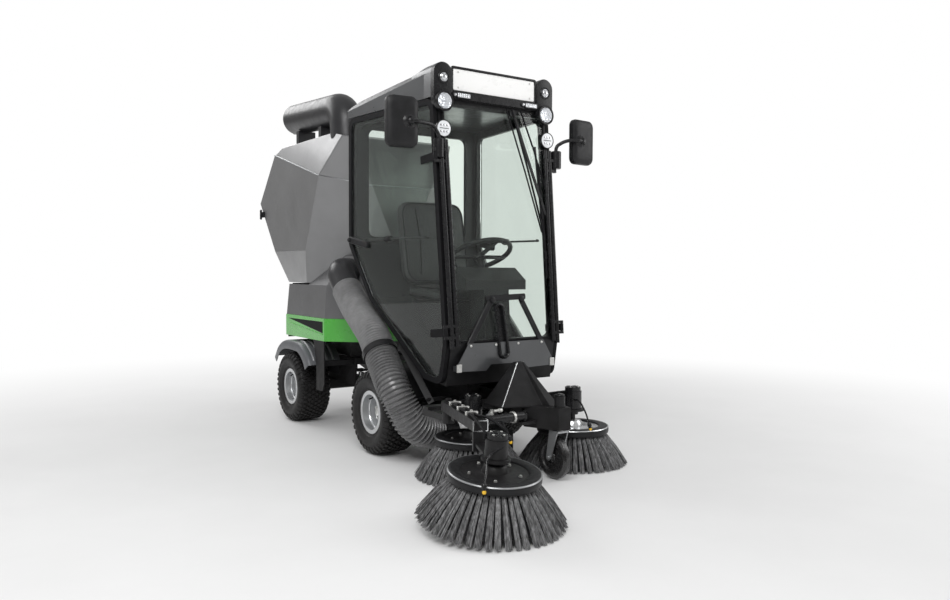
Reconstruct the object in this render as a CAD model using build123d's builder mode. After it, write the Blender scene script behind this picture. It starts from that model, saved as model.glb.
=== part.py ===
from build123d import *
from math import cos, radians, sin
import os

os.makedirs("parts", exist_ok=True)

# An articulated compact sweeper. Front is -Y, the machine's left side is +X, up is +Z, ground is z = 0.
# Sizes are in millimetres. Places are given from the articulation pivot, which stands on x = 0, y = 0.

# Where the frame's origin lies, seen from the pivot: the middle of the machine's outline
origin_x = -130.0
origin_y = -535.3

# Running clearances
moving_gap = 6.0
pin_gap = 0.3
seat_gap = 0.3

# Wheels and axles
axle_gap = 1154.0
front_axle_y = -axle_gap / 2
rear_axle_y = axle_gap / 2
tyre_radius = 228.5
tyre_width = 213.0
wheels_width = 946.0
wheel_x = (wheels_width - tyre_width) / 2
axle_z = tyre_radius
bead_radius = 101.0
flange_radius = 117.0
rim_width = 176.0
rim_wall = 5.0
disc_offset = 22.0
spindle_radius = 20.0
axle_radius = 40.0
hub_motor_radius = 74.0
hub_motor_end = 285.0

# Frames
plate = 12.0
frame_top = 420.0
frame_bottom = axle_z + axle_radius + 0.5
front_half_width = 162.0
front_frame_end = -1085.0
ear_half_width = 55.0
ear_thickness = 18.0
ear_low_z = 250.0
ear_high_z = 402.0
neck_start = -330.0
pivot_pin_radius = 20.0
rear_half_width = 202.0
rear_frame_start = 130.0
rear_frame_end = 1000.0

# Cab: side outline from the front foot over the roof line to the cut-away behind the door
cab_foot = (-1150.0, 430.0)
screen_foot = (-1190.0, 640.0)
screen_head = (-1075.0, 1850.0)
cab_rear_y = -300.0
cab_rear_low_z = 1140.0
cab_cut_upper = (-510.0, 835.0)
cab_cut_lower = (-1000.0, 452.0)
cab_front_half = 325.0
cab_rear_half = 424.0
cab_wall = 22.0
cab_rail = 46.0
door_thickness = 20.0
door_rail = 28.0
glass = 5.0
hinge_stand = 16.0
hinge_heights = (700.0, 1560.0)
hinge_barrel = 11.0
hinge_pin = 6.0
knuckle_half = 20.0
lug_height = 14.0

# Roof and what it carries
roof_rear_z = 1915.0
roof_mid_z = 1965.0
roof_front_z = 2000.0
pod_half = 53.0
pod_top_z = 2020.0
pod_foot_z = 1790.0
pod_front_y = -1098.0
plate_width = 520.0
plate_height = 110.0
plate_top_z = 2002.0
lamp_x = 319.0

# Hopper
hopper_half = 450.0
hopper_floor_z = 915.0
hopper_wall = 6.0
hopper_front_y = -118.0
hopper_nose_half = 230.0
hopper_crease = (120.0, 1563.0)
hopper_floor_corner = (392.0, 907.0)
seam_front = (126.0, 1575.0)
seam_rear = (862.0, 1777.8)
cover_lean = (90.0, 350.0)
hopper_tip = (690.0, 880.0)
duct_radius = 100.0
duct_x = 160.0 - hopper_half

# Rear bodywork
skirt_half = 430.0
skirt_low_z = 560.0
skirt_high_z = 700.0
skirt_rear_y = 720.0
cowl_high_z = 903.0
cowl_nose_y = -118.0
cowl_low_inset = 4.0
cowl_high_inset = 18.0
cowl_wall = 10.0
cowl_ridge = (260.0, 131.0, 1099.0)

# Hopper stands, cylinders and their pins
stand_out = 246.0
tip_pin_radius = 10.0
cylinder_pin = 8.0
cylinder_radius = 22.0
rod_radius = 12.0
eye_radius = 18.0
hopper_cylinder_x = 330.0
lift_base = (560.0, 640.0)
lift_eye = (400.0, 873.0)
cylinder_z = 335.0
steer_base = (-118.0, -280.0)
steer_eye = (-150.0, 150.0)

# Suction hose
hose_radius = 89.0
hose_corners = [
    # The middle line, from the hopper's inlet to the suction mouth
    (-396.0, -160.0, 888.0),
    (-404.0, -290.0, 790.0),
    (-440.0, -585.0, 655.0),
    (-475.0, -880.0, 395.0),
    (-400.0, -935.0, 200.0),
    (-240.0, -905.0, 150.0),
]
collar_share = 0.373
port = Vector(-340.0, -4.0, 990.0)
port_out = Vector(-0.7197, -0.6944, 0.0)
port_depth = 90.0
strut_stub = (-1000.0, 345.0)
stub_radius = 10.0

# Sweeping unit
lift_pivot = (-800.0, 330.0)
lift_pin_radius = 15.0
beam_low_z = 300.0
beam_high_z = 345.0
brush_radius = 290.0
ring_radius = 180.0
ring_z = 162.0
ring_height = 34.0
tuft_count = 36
brush_b = (-240.0, -1250.0)
brush_c = (360.0, -1300.0)
brush_a = (-620.0, -1940.0)
brush_tilt = 7.0
arm_pivot = (-430.0, -1330.0)
arm_swing_lever = 145.0
castor_post = (50.0, -1560.0)
castor_trail = 40.0
castor_radius = 108.0
castor_width = 44.0
arm_cylinder_y = -1475.0
arm_base_x = -95.0
arm_eye_x = -433.0


def spot(x, y, z):
    """A point given from the pivot, in the part's own frame."""
    return Vector(x - origin_x, y - origin_y, z)


def side_plane(x):
    """Upright plane that faces left: sketch x is rearward, sketch y is up."""
    return Plane(origin=spot(x, 0, 0), x_dir=(0, 1, 0), z_dir=(1, 0, 0))


def front_plane(y):
    """Upright plane that faces forward: sketch x is to the left side, sketch y is up."""
    return Plane(origin=spot(0, y, 0), x_dir=(1, 0, 0), z_dir=(0, -1, 0))


def level_plane(z):
    """Level plane: sketch x and y are the machine's own."""
    return Plane(origin=spot(0, 0, z), x_dir=(1, 0, 0), z_dir=(0, 0, 1))


def outline(plane, points, corner=0.0):
    """A closed outline of straight runs, with its corners rounded where asked."""
    with BuildSketch(plane) as drawn:
        with BuildLine():
            Polyline(*points, close=True)
        make_face()
        if corner:
            fillet(drawn.vertices(), corner)
    return drawn.sketch


def discs(plane, centres, radius, bore=0.0):
    """Round outlines about the given centres, each with its bore."""
    with BuildSketch(plane) as drawn:
        with Locations(*centres):
            Circle(radius)
            if bore:
                Circle(bore, mode=Mode.SUBTRACT)
    return drawn.sketch


def block(x, y, z, mode=Mode.ADD):
    """A box between two limits on each axis."""
    base = outline(level_plane(z[0]), [(x[0], y[0]), (x[1], y[0]), (x[1], y[1]), (x[0], y[1])])
    extrude(base, amount=z[1] - z[0], mode=mode)


def bar(start, end, radius, bore=0.0, mode=Mode.ADD):
    """A round bar or tube from one point to another."""
    low = spot(*start)
    run = spot(*end) - low
    extrude(discs(Plane(origin=low, z_dir=run), [(0, 0)], radius, bore), amount=run.length, mode=mode)


def cab_half(y):
    """Half the cab frame's width, which grows toward the rear."""
    share = (y - screen_foot[0]) / (cab_rear_y - screen_foot[0])
    return cab_front_half + share * (cab_rear_half - cab_front_half)


def screen_y(z):
    """Where the screen's front face stands at a height."""
    share = (z - screen_foot[1]) / (screen_head[1] - screen_foot[1])
    return screen_foot[0] + share * (screen_head[0] - screen_foot[0])


def cab_floor_z(y):
    """How high the cab's underside stands above a point on its middle line."""
    low, high = (cab_foot, cab_cut_lower) if y < cab_cut_lower[0] else (cab_cut_lower, cab_cut_upper)
    return low[1] + (y - low[0]) / (high[0] - low[0]) * (high[1] - low[1])


def cab_profile(x, inset, top_z, corner=0.0):
    """The cab's side outline, drawn in by an inset."""
    points = [
        cab_foot,
        screen_foot,
        (screen_y(top_z), top_z),
        (cab_rear_y, top_z),
        (cab_rear_y, cab_rear_low_z),
        cab_cut_upper,
        cab_cut_lower,
    ]
    with BuildSketch(side_plane(x)) as drawn:
        with BuildLine():
            Polyline(*points, close=True)
        make_face()
        if inset:
            offset(amount=-inset, kind=Kind.INTERSECTION, mode=Mode.REPLACE)
        if corner:
            fillet(drawn.vertices(), corner)
    return drawn.sketch


def side_strip(inner, outer, side):
    """A strip along one side of the cab in plan, between two distances from the frame's side."""
    front_y = screen_foot[0] - 40.0
    rear_y = cab_rear_y
    points = [
        (side * (cab_half(front_y) + inner), front_y),
        (side * (cab_half(front_y) + outer), front_y),
        (side * (cab_half(rear_y) + outer), rear_y),
        (side * (cab_half(rear_y) + inner), rear_y),
    ]
    return outline(level_plane(300.0), points)


def cab_volume(inset, top_z):
    """The cab's room: its side outline extruded, then cut to its plan."""
    front = screen_foot[0] - 40.0
    rear = cab_rear_y + 40.0
    plan = [
        (-cab_half(front) + inset, front),
        (cab_half(front) - inset, front),
        (cab_half(rear) - inset, rear),
        (-cab_half(rear) + inset, rear),
    ]
    with BuildPart() as volume:
        extrude(cab_profile(-600.0, inset, top_z), amount=1200.0)
        extrude(outline(level_plane(300.0), plan), amount=1800.0, mode=Mode.INTERSECT)
    return volume.part


# Front frame: two side plates, top plate, ears and pin of the articulation, pins of the lift arms
with BuildPart() as front_frame:
    for side in (-1, 1):
        side_points = [
            (front_frame_end, frame_top - 60.0),
            (front_frame_end, frame_top),
            (neck_start, frame_top),
            (neck_start, ear_low_z),
            (front_axle_y + 120.0, frame_bottom),
            (lift_pivot[0] - 60.0, frame_bottom),
        ]
        low_x = front_half_width - plate if side > 0 else -front_half_width
        extrude(outline(side_plane(low_x), side_points), amount=plate)
        bar((side * (front_half_width - plate), *lift_pivot), (side * 100.0, *lift_pivot), lift_pin_radius)
    block((-front_half_width, front_half_width), (front_frame_end, neck_start),
        (frame_top, frame_top + 10.0))
    block((-front_half_width, front_half_width), (neck_start - plate, neck_start), (ear_low_z, frame_top))
    block((-plate / 2, plate / 2), (neck_start, -70.0), (ear_low_z, frame_top))
    for low in (ear_low_z, ear_high_z):
        block((-ear_half_width, ear_half_width), (neck_start, 0.0), (low, low + ear_thickness))
        extrude(discs(level_plane(low), [(0, 0)], ear_half_width), amount=ear_thickness)
    bar((0, 0, ear_low_z - 16.0), (0, 0, ear_high_z + 34.0), pivot_pin_radius)
    for front_y, rear_y in ((-1080.0, -1020.0), (-660.0, -600.0)):
        stand = [(front_y, frame_top + 4.0), (front_y, cab_floor_z(front_y) - seat_gap),
                 (rear_y, cab_floor_z(rear_y) - seat_gap), (rear_y, frame_top + 4.0)]
        for start_x in (-140.0, 110.0):
            extrude(outline(side_plane(start_x), stand), amount=30.0)
    steer_x, steer_y = steer_base
    block((-front_half_width, -plate / 2), (neck_start, steer_y + 24.0), (ear_low_z, ear_low_z + plate))
    bar((steer_x, steer_y, ear_low_z), (steer_x, steer_y, cylinder_z + 22.0), cylinder_pin)
    bar((-front_half_width, *strut_stub), (-342.0, *strut_stub), stub_radius)
front_frame.part.label = "front_frame"
export_step(front_frame.part, "parts/front_frame.step")

# Rear frame: knuckle on the pivot pin, side plates, cross plates, hopper stands and tow hitch
with BuildPart() as rear_frame:
    knuckle_low = ear_low_z + ear_thickness + 2.0
    knuckle_high = ear_high_z - 2.0
    extrude(discs(level_plane(knuckle_low), [(0, 0)], 42.0), amount=knuckle_high - knuckle_low)
    block((-38.0, 38.0), (0.0, rear_frame_start + plate), (knuckle_low, knuckle_high))
    block((-rear_half_width, rear_half_width), (rear_frame_start, rear_frame_start + 70.0), (400.0, 440.0))
    block((-rear_half_width, rear_half_width), (rear_frame_start, rear_frame_start + 90.0), (268.5, 282.0))
    for side in (-1, 1):
        low_x = rear_half_width - plate if side > 0 else -rear_half_width
        side_points = [
            (rear_frame_start, frame_bottom),
            (rear_frame_start, 440.0),
            (rear_frame_end, 440.0),
            (rear_frame_end, 330.0),
            (rear_axle_y + 150.0, frame_bottom),
        ]
        extrude(outline(side_plane(low_x), side_points), amount=plate)
        stand_points = [
            (hopper_tip[0] - 170.0, 440.0), (hopper_tip[0] - 170.0, 600.0), (hopper_tip[0] - 150.0, 670.0),
            (hopper_tip[0] - 90.0, 670.0), (hopper_tip[0] - 15.0, hopper_tip[1] + 15.0),
            (hopper_tip[0] + 15.0, hopper_tip[1] + 15.0), (hopper_tip[0] + 15.0, 440.0),
        ]
        stand_x = stand_out - plate if side > 0 else -stand_out
        extrude(outline(side_plane(stand_x), stand_points, 12.0), amount=plate)
        foot_x = sorted((side * (rear_half_width - plate), side * stand_out))
        block(foot_x, (hopper_tip[0] - 150.0, hopper_tip[0] + 15.0), (428.0, 440.0))
        pin_end = side * (hopper_cylinder_x + 24.0)
        bar((side * (stand_out - plate), *lift_base), (pin_end, *lift_base), cylinder_pin)
    block((-rear_half_width, rear_half_width), (rear_frame_end, rear_frame_end + plate), (330.0, 440.0))
    for beam_y in (250.0, 610.0, skirt_rear_y - 30.0):
        block((-rear_half_width, rear_half_width), (beam_y, beam_y + 50.0), (428.0, 440.0))
    hitch = [(-60, rear_frame_end + plate), (60, rear_frame_end + plate), (35, 1090.0), (-35, 1090.0)]
    extrude(outline(level_plane(372.0), hitch), amount=16.0)
    extrude(discs(level_plane(260.0), [(0, 0)], pivot_pin_radius + 0.1), amount=160.0, mode=Mode.SUBTRACT)
    extrude(discs(level_plane(360.0), [(0, 1060.0)], 13.0), amount=40.0, mode=Mode.SUBTRACT)
    for side in (-1, 1):
        hole_start = (side * (stand_out - 2 * plate), *hopper_tip)
        hole_end = (side * (stand_out + plate), *hopper_tip)
        bar(hole_start, hole_end, tip_pin_radius + 0.1, mode=Mode.SUBTRACT)
    steer_end_x, steer_end_y = steer_eye
    block(
        (-rear_half_width + plate, steer_end_x + 30.0), (steer_end_y - 30.0, rear_frame_start + 70.0),
        (cylinder_z + 20.0, cylinder_z + 32.0),
    )
    block(
        (-rear_half_width + plate, -180.0), (rear_frame_start + 10.0, rear_frame_start + 60.0),
        (cylinder_z + 20.0, 400.0),
    )
rear_frame.part.label = "rear_frame"
export_step(rear_frame.part, "parts/rear_frame.step")

# Axles: a tube with a saddle under the frame, hub motors and wheel spindles
for place, axle_y, half in (("front", front_axle_y, front_half_width),
    ("rear", rear_axle_y, rear_half_width)):
    with BuildPart() as axle:
        bar((-hub_motor_end, axle_y, axle_z), (hub_motor_end, axle_y, axle_z), axle_radius)
        block((-half, half), (axle_y - 50.0, axle_y + 50.0), (axle_z - 20.0, frame_bottom))
        for side in (-1, 1):
            bar((side * 222.0, axle_y, axle_z), (side * hub_motor_end, axle_y, axle_z), hub_motor_radius)
            spindle_end = wheel_x + disc_offset - 2.0
            bar((side * hub_motor_end, axle_y, axle_z), (side * spindle_end, axle_y, axle_z),
                spindle_radius)
    axle.part.label = f"{place}_axle"
    export_step(axle.part, f"parts/{place}_axle.step")

# Wheels: a tyre of full section and a dished rim with hub and slots
wheel_table = [
    # place, side, axle y
    ("front_right", -1, front_axle_y),
    ("front_left", 1, front_axle_y),
    ("rear_right", -1, rear_axle_y),
    ("rear_left", 1, rear_axle_y),
]
for place, side, axle_y in wheel_table:
    centre = spot(side * wheel_x, axle_y, axle_z)
    spin = Axis(centre, (side, 0, 0))
    radial = Plane(origin=centre, x_dir=(side, 0, 0), z_dir=(0, -side, 0))
    half_tyre = tyre_width / 2
    shoulder = 18.0
    with BuildPart() as tyre:
        with BuildSketch(radial):
            with BuildLine():
                crown_edge = (half_tyre - shoulder, tyre_radius - 14.0)
                bead = rim_width / 2 - 8.0 - seat_gap
                lip = (rim_width / 2 - 4.0 - seat_gap, flange_radius + 2.0)
                Polyline(
                    (-lip[0], lip[1]), (-bead, bead_radius + seat_gap), (bead, bead_radius + seat_gap), lip
                )
                ThreePointArc(lip, (half_tyre, 168.0), crown_edge)
                ThreePointArc(crown_edge, (0, tyre_radius), (-crown_edge[0], crown_edge[1]))
                ThreePointArc((-crown_edge[0], crown_edge[1]), (-half_tyre, 168.0), (-lip[0], lip[1]))
            make_face()
        revolve(axis=spin)
    tyre.part.label = f"tyre_{place}"
    export_step(tyre.part, f"parts/tyre_{place}.step")

    with BuildPart() as rim:
        edge = rim_width / 2
        with BuildSketch(radial):
            with BuildLine():
                Polyline(
                    (-edge, flange_radius),
                    (-edge, bead_radius - rim_wall),
                    (disc_offset - 30.0, bead_radius - rim_wall - 6.0),
                    (disc_offset, 62.0),
                    (disc_offset - 2.0, spindle_radius + 8.0),
                    (disc_offset - 46.0, spindle_radius + 8.0),
                    (disc_offset - 46.0, spindle_radius + pin_gap),
                    (disc_offset + 4.0, spindle_radius + pin_gap),
                    (disc_offset + 4.0, 62.0),
                    (disc_offset - 20.0, bead_radius - rim_wall - 4.0),
                    (edge, bead_radius - rim_wall),
                    (edge, flange_radius),
                    (edge - 4.0, flange_radius),
                    (edge - 8.0, bead_radius),
                    (-edge + 8.0, bead_radius),
                    (-edge + 4.0, flange_radius),
                    close=True,
                )
            make_face()
        revolve(axis=spin)
        cap_face = Plane(origin=spot(side * (wheel_x + disc_offset + 4.0), axle_y, axle_z),
            z_dir=(side, 0, 0))
        extrude(discs(cap_face, [(0, 0)], 30.0), amount=10.0)
    rim.part.label = f"rim_{place}"
    export_step(rim.part, f"parts/rim_{place}.step")

# Cab frame: pillars and rails left by the door, screen and rear window openings in a thin shell
cab_outer = cab_volume(0.0, screen_head[1])
cab_inner = cab_volume(cab_wall, screen_head[1] + 3 * cab_wall)
hinge_lean = (cab_half(screen_head[0]) - cab_half(screen_foot[0]), screen_head[0] - screen_foot[0],
              screen_head[1] - screen_foot[1])


def hinge_plane(side, z, along=0.0):
    """Plane square to a door's hinge pin, at a height and shifted along the pin."""
    y = screen_y(z)
    lean = Vector(side * hinge_lean[0], hinge_lean[1], hinge_lean[2]).normalized()
    door_face = cab_half(y) + moving_gap + door_thickness
    foot = spot(side * (door_face + 12.0), y - hinge_stand, z)
    return Plane(origin=foot + lean * along, x_dir=(side, 0, 0), z_dir=lean)


with BuildPart() as cab_frame:
    add(cab_outer)
    add(cab_inner, mode=Mode.SUBTRACT)
    extrude(cab_profile(-600.0, cab_rail, screen_head[1], 45.0), amount=1200.0, mode=Mode.SUBTRACT)
    low_half = cab_front_half - 34.0
    high_half = cab_half(screen_head[0]) - 34.0
    screen_hole = [(-low_half, 655.0), (low_half, 655.0), (high_half, 1812.0), (-high_half, 1812.0)]
    extrude(outline(front_plane(-1000.0), screen_hole, 40.0), amount=260.0, mode=Mode.SUBTRACT)
    rear_hole = [(-330, 1190), (330, 1190), (330, 1800), (-330, 1800)]
    extrude(outline(front_plane(cab_rear_y + 20.0), rear_hole, 40.0), amount=80.0, mode=Mode.SUBTRACT)
    for side in (-1, 1):
        for height in hinge_heights:
            for along in (knuckle_half + 1.0, -knuckle_half - 1.0 - lug_height):
                with BuildSketch(hinge_plane(side, height, along)):
                    Circle(hinge_barrel)
                    with Locations((-26.5, -3.0 * side)):
                        Rectangle(53.0, 12.0)
                    with Locations((-46.0, 4.0 * side)):
                        Rectangle(14.0, 26.0)
                extrude(amount=lug_height)
            pin_low = -knuckle_half - lug_height
            extrude(discs(hinge_plane(side, height, pin_low), [(0, 0)], hinge_pin), amount=-2 * pin_low)
cab_frame.part.label = "cab_frame"
export_step(cab_frame.part, "parts/cab_frame.step")

# Doors: a framed pane on each side, hung on the front pillar
for place, side in (("right", -1), ("left", 1)):
    strip = side_strip(moving_gap, moving_gap + door_thickness, side)
    pane_inner = moving_gap + (door_thickness - glass) / 2
    with BuildPart() as door:
        extrude(cab_profile(0.0, 4.0, screen_head[1], 50.0), amount=side * 600.0)
        extrude(strip, amount=1800.0, mode=Mode.INTERSECT)
        extrude(
            cab_profile(0.0, 4.0 + door_rail, screen_head[1], 40.0), amount=side * 600.0, mode=Mode.SUBTRACT
        )
        for height in hinge_heights:
            with BuildSketch(hinge_plane(side, height, -knuckle_half)):
                Circle(hinge_barrel)
                with BuildLine():
                    slope = (cab_rear_half - cab_front_half) / (cab_rear_y - screen_foot[0])
                    Polyline(
                        (-9.0, 0.0),
                        (-13.5 + slope * 8.0, side * 24.0),
                        (-13.5 + slope * 119.0, side * 135.0),
                        (-6.0 + slope * 119.0, side * 135.0),
                        (-3.0, side * 20.0),
                        (4.0, 0.0),
                        close=True,
                    )
                make_face()
                Circle(hinge_pin + pin_gap, mode=Mode.SUBTRACT)
            extrude(amount=2 * knuckle_half)
    door.part.label = f"door_{place}"
    export_step(door.part, f"parts/door_{place}.step")

    with BuildPart() as pane:
        extrude(cab_profile(0.0, 4.0 + door_rail + seat_gap, screen_head[1], 40.0), amount=side * 600.0)
        extrude(side_strip(pane_inner, pane_inner + glass, side), amount=1800.0, mode=Mode.INTERSECT)
    pane.part.label = f"door_glass_{place}"
    export_step(pane.part, f"parts/door_glass_{place}.step")

# Windscreen and rear window: panes bonded on the outside of the frame
screen_rise = Vector(0, screen_head[0] - screen_foot[0], screen_head[1] - screen_foot[1])
screen_out = Vector(0, -screen_rise.Z, screen_rise.Y).normalized()
screen_face = Plane(origin=spot(0, *screen_foot), x_dir=(1, 0, 0), z_dir=screen_out)
with BuildPart() as windscreen:
    pane_low = cab_front_half - 16.0
    pane_high = cab_half(screen_head[0]) - 16.0
    pane_points = [(-pane_low, 6.0), (pane_low, 6.0), (pane_high, 1195.0), (-pane_high, 1195.0)]
    extrude(outline(screen_face, pane_points, 45.0), amount=glass)
windscreen.part.label = "windscreen"
export_step(windscreen.part, "parts/windscreen.step")

with BuildPart() as rear_window:
    rear_points = [(-350, 1170), (350, 1170), (350, 1820), (-350, 1820)]
    extrude(outline(front_plane(cab_rear_y + glass), rear_points, 45.0), amount=glass)
rear_window.part.label = "rear_window"
export_step(rear_window.part, "parts/rear_window.step")

# Roof: a moulded cap that rises toward the front, with a lamp pod at each front corner
pod_side = [
    (pod_front_y + 4.0, pod_foot_z - 1.0),
    (pod_front_y, pod_foot_z + 20.0),
    (pod_front_y, pod_top_z - 14.0),
    (pod_front_y + 12.0, pod_top_z + 1.0),
    (-1045.0, pod_top_z + 1.0),
    (-1000.0, pod_top_z - 6.0),
    (-940.0, 1992.0),
    (-880.0, 1984.0),
    (-880.0, screen_head[1]),
    (screen_head[0] - 0.5, screen_head[1]),
    (screen_y(1842.0) - glass - 1.5, 1842.0),
    (screen_y(pod_foot_z) - glass - 1.5, pod_foot_z - 1.0),
]
with BuildPart() as pods:
    pod_height = pod_top_z - pod_foot_z
    with BuildSketch(front_plane(pod_front_y - 1.0)):
        with Locations(*[(side * lamp_x, pod_foot_z + pod_height / 2) for side in (-1, 1)]):
            SlotOverall(pod_height, 2 * pod_half, rotation=90)
    extrude(amount=-300.0)
    extrude(outline(side_plane(-500.0), pod_side), amount=1000.0, mode=Mode.INTERSECT)
with BuildPart() as cab_roof:
    roof_side = [
        (screen_head[0], screen_head[1]),
        (-1070.0, 1882.0),
        (-1066.0, roof_front_z - 10.0),
        (-1010.0, roof_front_z),
        (-700.0, roof_mid_z + 12.0),
        (-360.0, roof_mid_z - 20.0),
        (cab_rear_y + 6.0, roof_rear_z),
        (cab_rear_y + 6.0, screen_head[1]),
    ]
    extrude(outline(side_plane(-600.0), roof_side), amount=1200.0)
    over = moving_gap + door_thickness
    front_x = cab_half(-1080.0) + over
    rear_x = cab_half(cab_rear_y + 6.0) + over
    roof_plan = [(-front_x, -1080.0), (front_x, -1080.0), (rear_x, cab_rear_y + 6.0),
        (-rear_x, cab_rear_y + 6.0)]
    extrude(outline(level_plane(1800.0), roof_plan), amount=300.0, mode=Mode.INTERSECT)
    roof_front = [
        (-rear_x, screen_head[1]),
        (rear_x, screen_head[1]),
        (rear_x, 1890.0),
        (front_x - 30.0, 2010.0),
        (-front_x + 30.0, 2010.0),
        (-rear_x, 1890.0),
    ]
    extrude(outline(front_plane(-200.0), roof_front), amount=1000.0, mode=Mode.INTERSECT)
    add(pods.part)
cab_roof.part.label = "cab_roof"
export_step(cab_roof.part, "parts/cab_roof.step")

# Number board: a blank plate in its frame, over a light bar
with BuildPart() as sign_board:
    half_plate = plate_width / 2
    low_plate = plate_top_z - plate_height
    backing = [
        (-half_plate - 2, low_plate - 46.0),
        (half_plate + 2, low_plate - 46.0),
        (half_plate + 2, plate_top_z + 4.0),
        (-half_plate - 2, plate_top_z + 4.0),
    ]
    extrude(outline(front_plane(-1076.0), backing), amount=8.0)
    face = [
        (-half_plate, low_plate), (half_plate, low_plate), (half_plate, plate_top_z),
        (-half_plate, plate_top_z)
    ]
    extrude(outline(front_plane(-1084.0), face, 6.0), amount=3.0)
    block((-half_plate, half_plate), (-1104.0, -1084.0), (low_plate - 42.0, low_plate - 8.0))
sign_board.part.label = "sign_board"
export_step(sign_board.part, "parts/sign_board.step")

# Front lamps: headlamp, round work lamp and small marker lamp on each side
lamp_table = [
    # height, radius, back y, length
    (1946.0, 30.0, pod_front_y, 6.0),
    (1829.0, 50.0, pod_front_y, 16.0),
    (1694.0, 41.0, pod_front_y - 3.0, 13.0),
]
with BuildPart() as front_lamps:
    for side in (-1, 1):
        for height, radius, back_y, length in lamp_table:
            extrude(discs(front_plane(back_y), [(side * lamp_x, height)], radius), amount=length)
        block(
            sorted((side * 323.0, side * 334.0)), (pod_front_y - 6.0, screen_y(1688.0) - seat_gap),
            (1688.0, 1704.0)
        )
front_lamps.part.label = "front_lamps"
export_step(front_lamps.part, "parts/front_lamps.step")

# Mirrors: a rounded housing on a bent arm from each front pillar
with BuildPart() as mirrors:
    for side in (-1, 1):
        centre_x = side * 565.0
        arm_foot_y = screen_y(1640.0) - 14.0
        bar((side * 328.5, arm_foot_y, 1640.0), (side * 400.0, arm_foot_y, 1640.0), 8.0)
        bar((side * 328.5, arm_foot_y + 12.7, 1640.0), (side * 328.5, arm_foot_y - 8.0, 1640.0), 8.0)
        bar((side * 398.0, arm_foot_y, 1636.0), (side * 452.0, -1122.0, 1706.0), 8.0)
        bar((side * 446.0, -1122.0, 1706.0), (side * 500.0, -1122.0, 1706.0), 8.0)
        housing = [
            (centre_x - 80, 1586.0), (centre_x + 80, 1586.0), (centre_x + 80, 1826.0),
            (centre_x - 80, 1826.0),
        ]
        extrude(outline(front_plane(-1103.0), housing, 24.0), amount=44.0)
mirrors.part.label = "mirrors"
export_step(mirrors.part, "parts/mirrors.step")

# Apron: folded plate under the windscreen
with BuildPart() as front_apron:
    apron_points = [
        (-302, 505), (-302, 532), (-235, 640), (235, 640), (302, 532), (302, 505),
        (130, 500), (100, 530), (-100, 530), (-130, 500),
    ]
    extrude(outline(front_plane(-1202.0), apron_points), amount=5.0)
    block((-235.0, 235.0), (-1202.0, screen_foot[0] - 0.3), (634.0, 640.0))
    for side in (-1, 1):
        block(sorted((side * 297.0, side * 302.0)), (-1202.0, -1170.0), (505.0, 532.0))
front_apron.part.label = "front_apron"
export_step(front_apron.part, "parts/front_apron.step")

# Front fenders: thin arcs close over the front tyres, on brackets from the frame
with BuildPart() as front_fenders:
    fender_inner = tyre_radius + 34.0
    for side in (-1, 1):
        start_x = 250.0 if side > 0 else -350.0
        with BuildSketch(side_plane(start_x)):
            with Locations((front_axle_y, axle_z)):
                Circle(fender_inner + 6.0)
                Circle(fender_inner, mode=Mode.SUBTRACT)
            with BuildLine():
                Polyline(
                    (front_axle_y, axle_z), (front_axle_y - 380.0, axle_z + 150.0),
                    (front_axle_y - 380.0, axle_z + 500.0), (front_axle_y + 380.0, axle_z + 500.0),
                    (front_axle_y + 380.0, axle_z + 80.0), close=True,
                )
            make_face(mode=Mode.INTERSECT)
        extrude(amount=100.0)
        block(
            sorted((side * front_half_width, side * 262.0)), (front_axle_y - 23.0, front_axle_y + 23.0),
            (axle_z + fender_inner - 14.0, axle_z + fender_inner + 2.0),
        )
        block(
            sorted((side * front_half_width, side * 190.0)), (front_axle_y - 23.0, front_axle_y + 23.0),
            (frame_top - 60.0, axle_z + fender_inner - 14.0),
        )
front_fenders.part.label = "front_fenders"
export_step(front_fenders.part, "parts/front_fenders.step")

# Seat: cushion and back on a pedestal that stands on the cab's floor
with BuildPart() as seat_base:
    pedestal = [(-900.0, 500.0), (-900.0, 839.8), (-560.0, 839.8)]
    extrude(outline(side_plane(-190.0), pedestal), amount=380.0)
    add(cab_inner, mode=Mode.INTERSECT)
seat_base.part.label = "seat_base"
export_step(seat_base.part, "parts/seat_base.step")

with BuildPart() as seat:
    cushion = [
        (-940.0, 840.0), (-940.0, 900.0), (-560.0, 915.0), (-470.0, 1390.0), (-400.0, 1390.0),
        (-500.0, 900.0),
        (-560.0, 840.0),
    ]
    extrude(outline(side_plane(-220.0), cushion, 14.0), amount=440.0)
seat.part.label = "seat"
export_step(seat.part, "parts/seat.step")

# Dash: a tapered column with an instrument pod, and the steering wheel on its tilted shaft
with BuildPart() as dash:
    column = [(-1140.0, 453.0), (-1030.0, 453.0), (-960.0, 960.0), (-1010.0, 1010.0), (-1105.0, 940.0)]
    extrude(outline(side_plane(-80.0), column), amount=160.0)
    binnacle = [(-1110.0, 900.0), (-1110.0, 950.0), (-1015.0, 1015.0), (-985.0, 985.0), (-1010.0, 900.0)]
    extrude(outline(side_plane(-190.0), binnacle), amount=380.0)
    column_side = [(-1135.0, 470.0), (-1172.0, 640.0), (-1030.0, 640.0), (-1040.0, 470.0)]
    extrude(outline(side_plane(-230.0), column_side), amount=460.0)
    add(cab_inner, mode=Mode.INTERSECT)
dash.part.label = "dash"
export_step(dash.part, "parts/dash.step")

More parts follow.
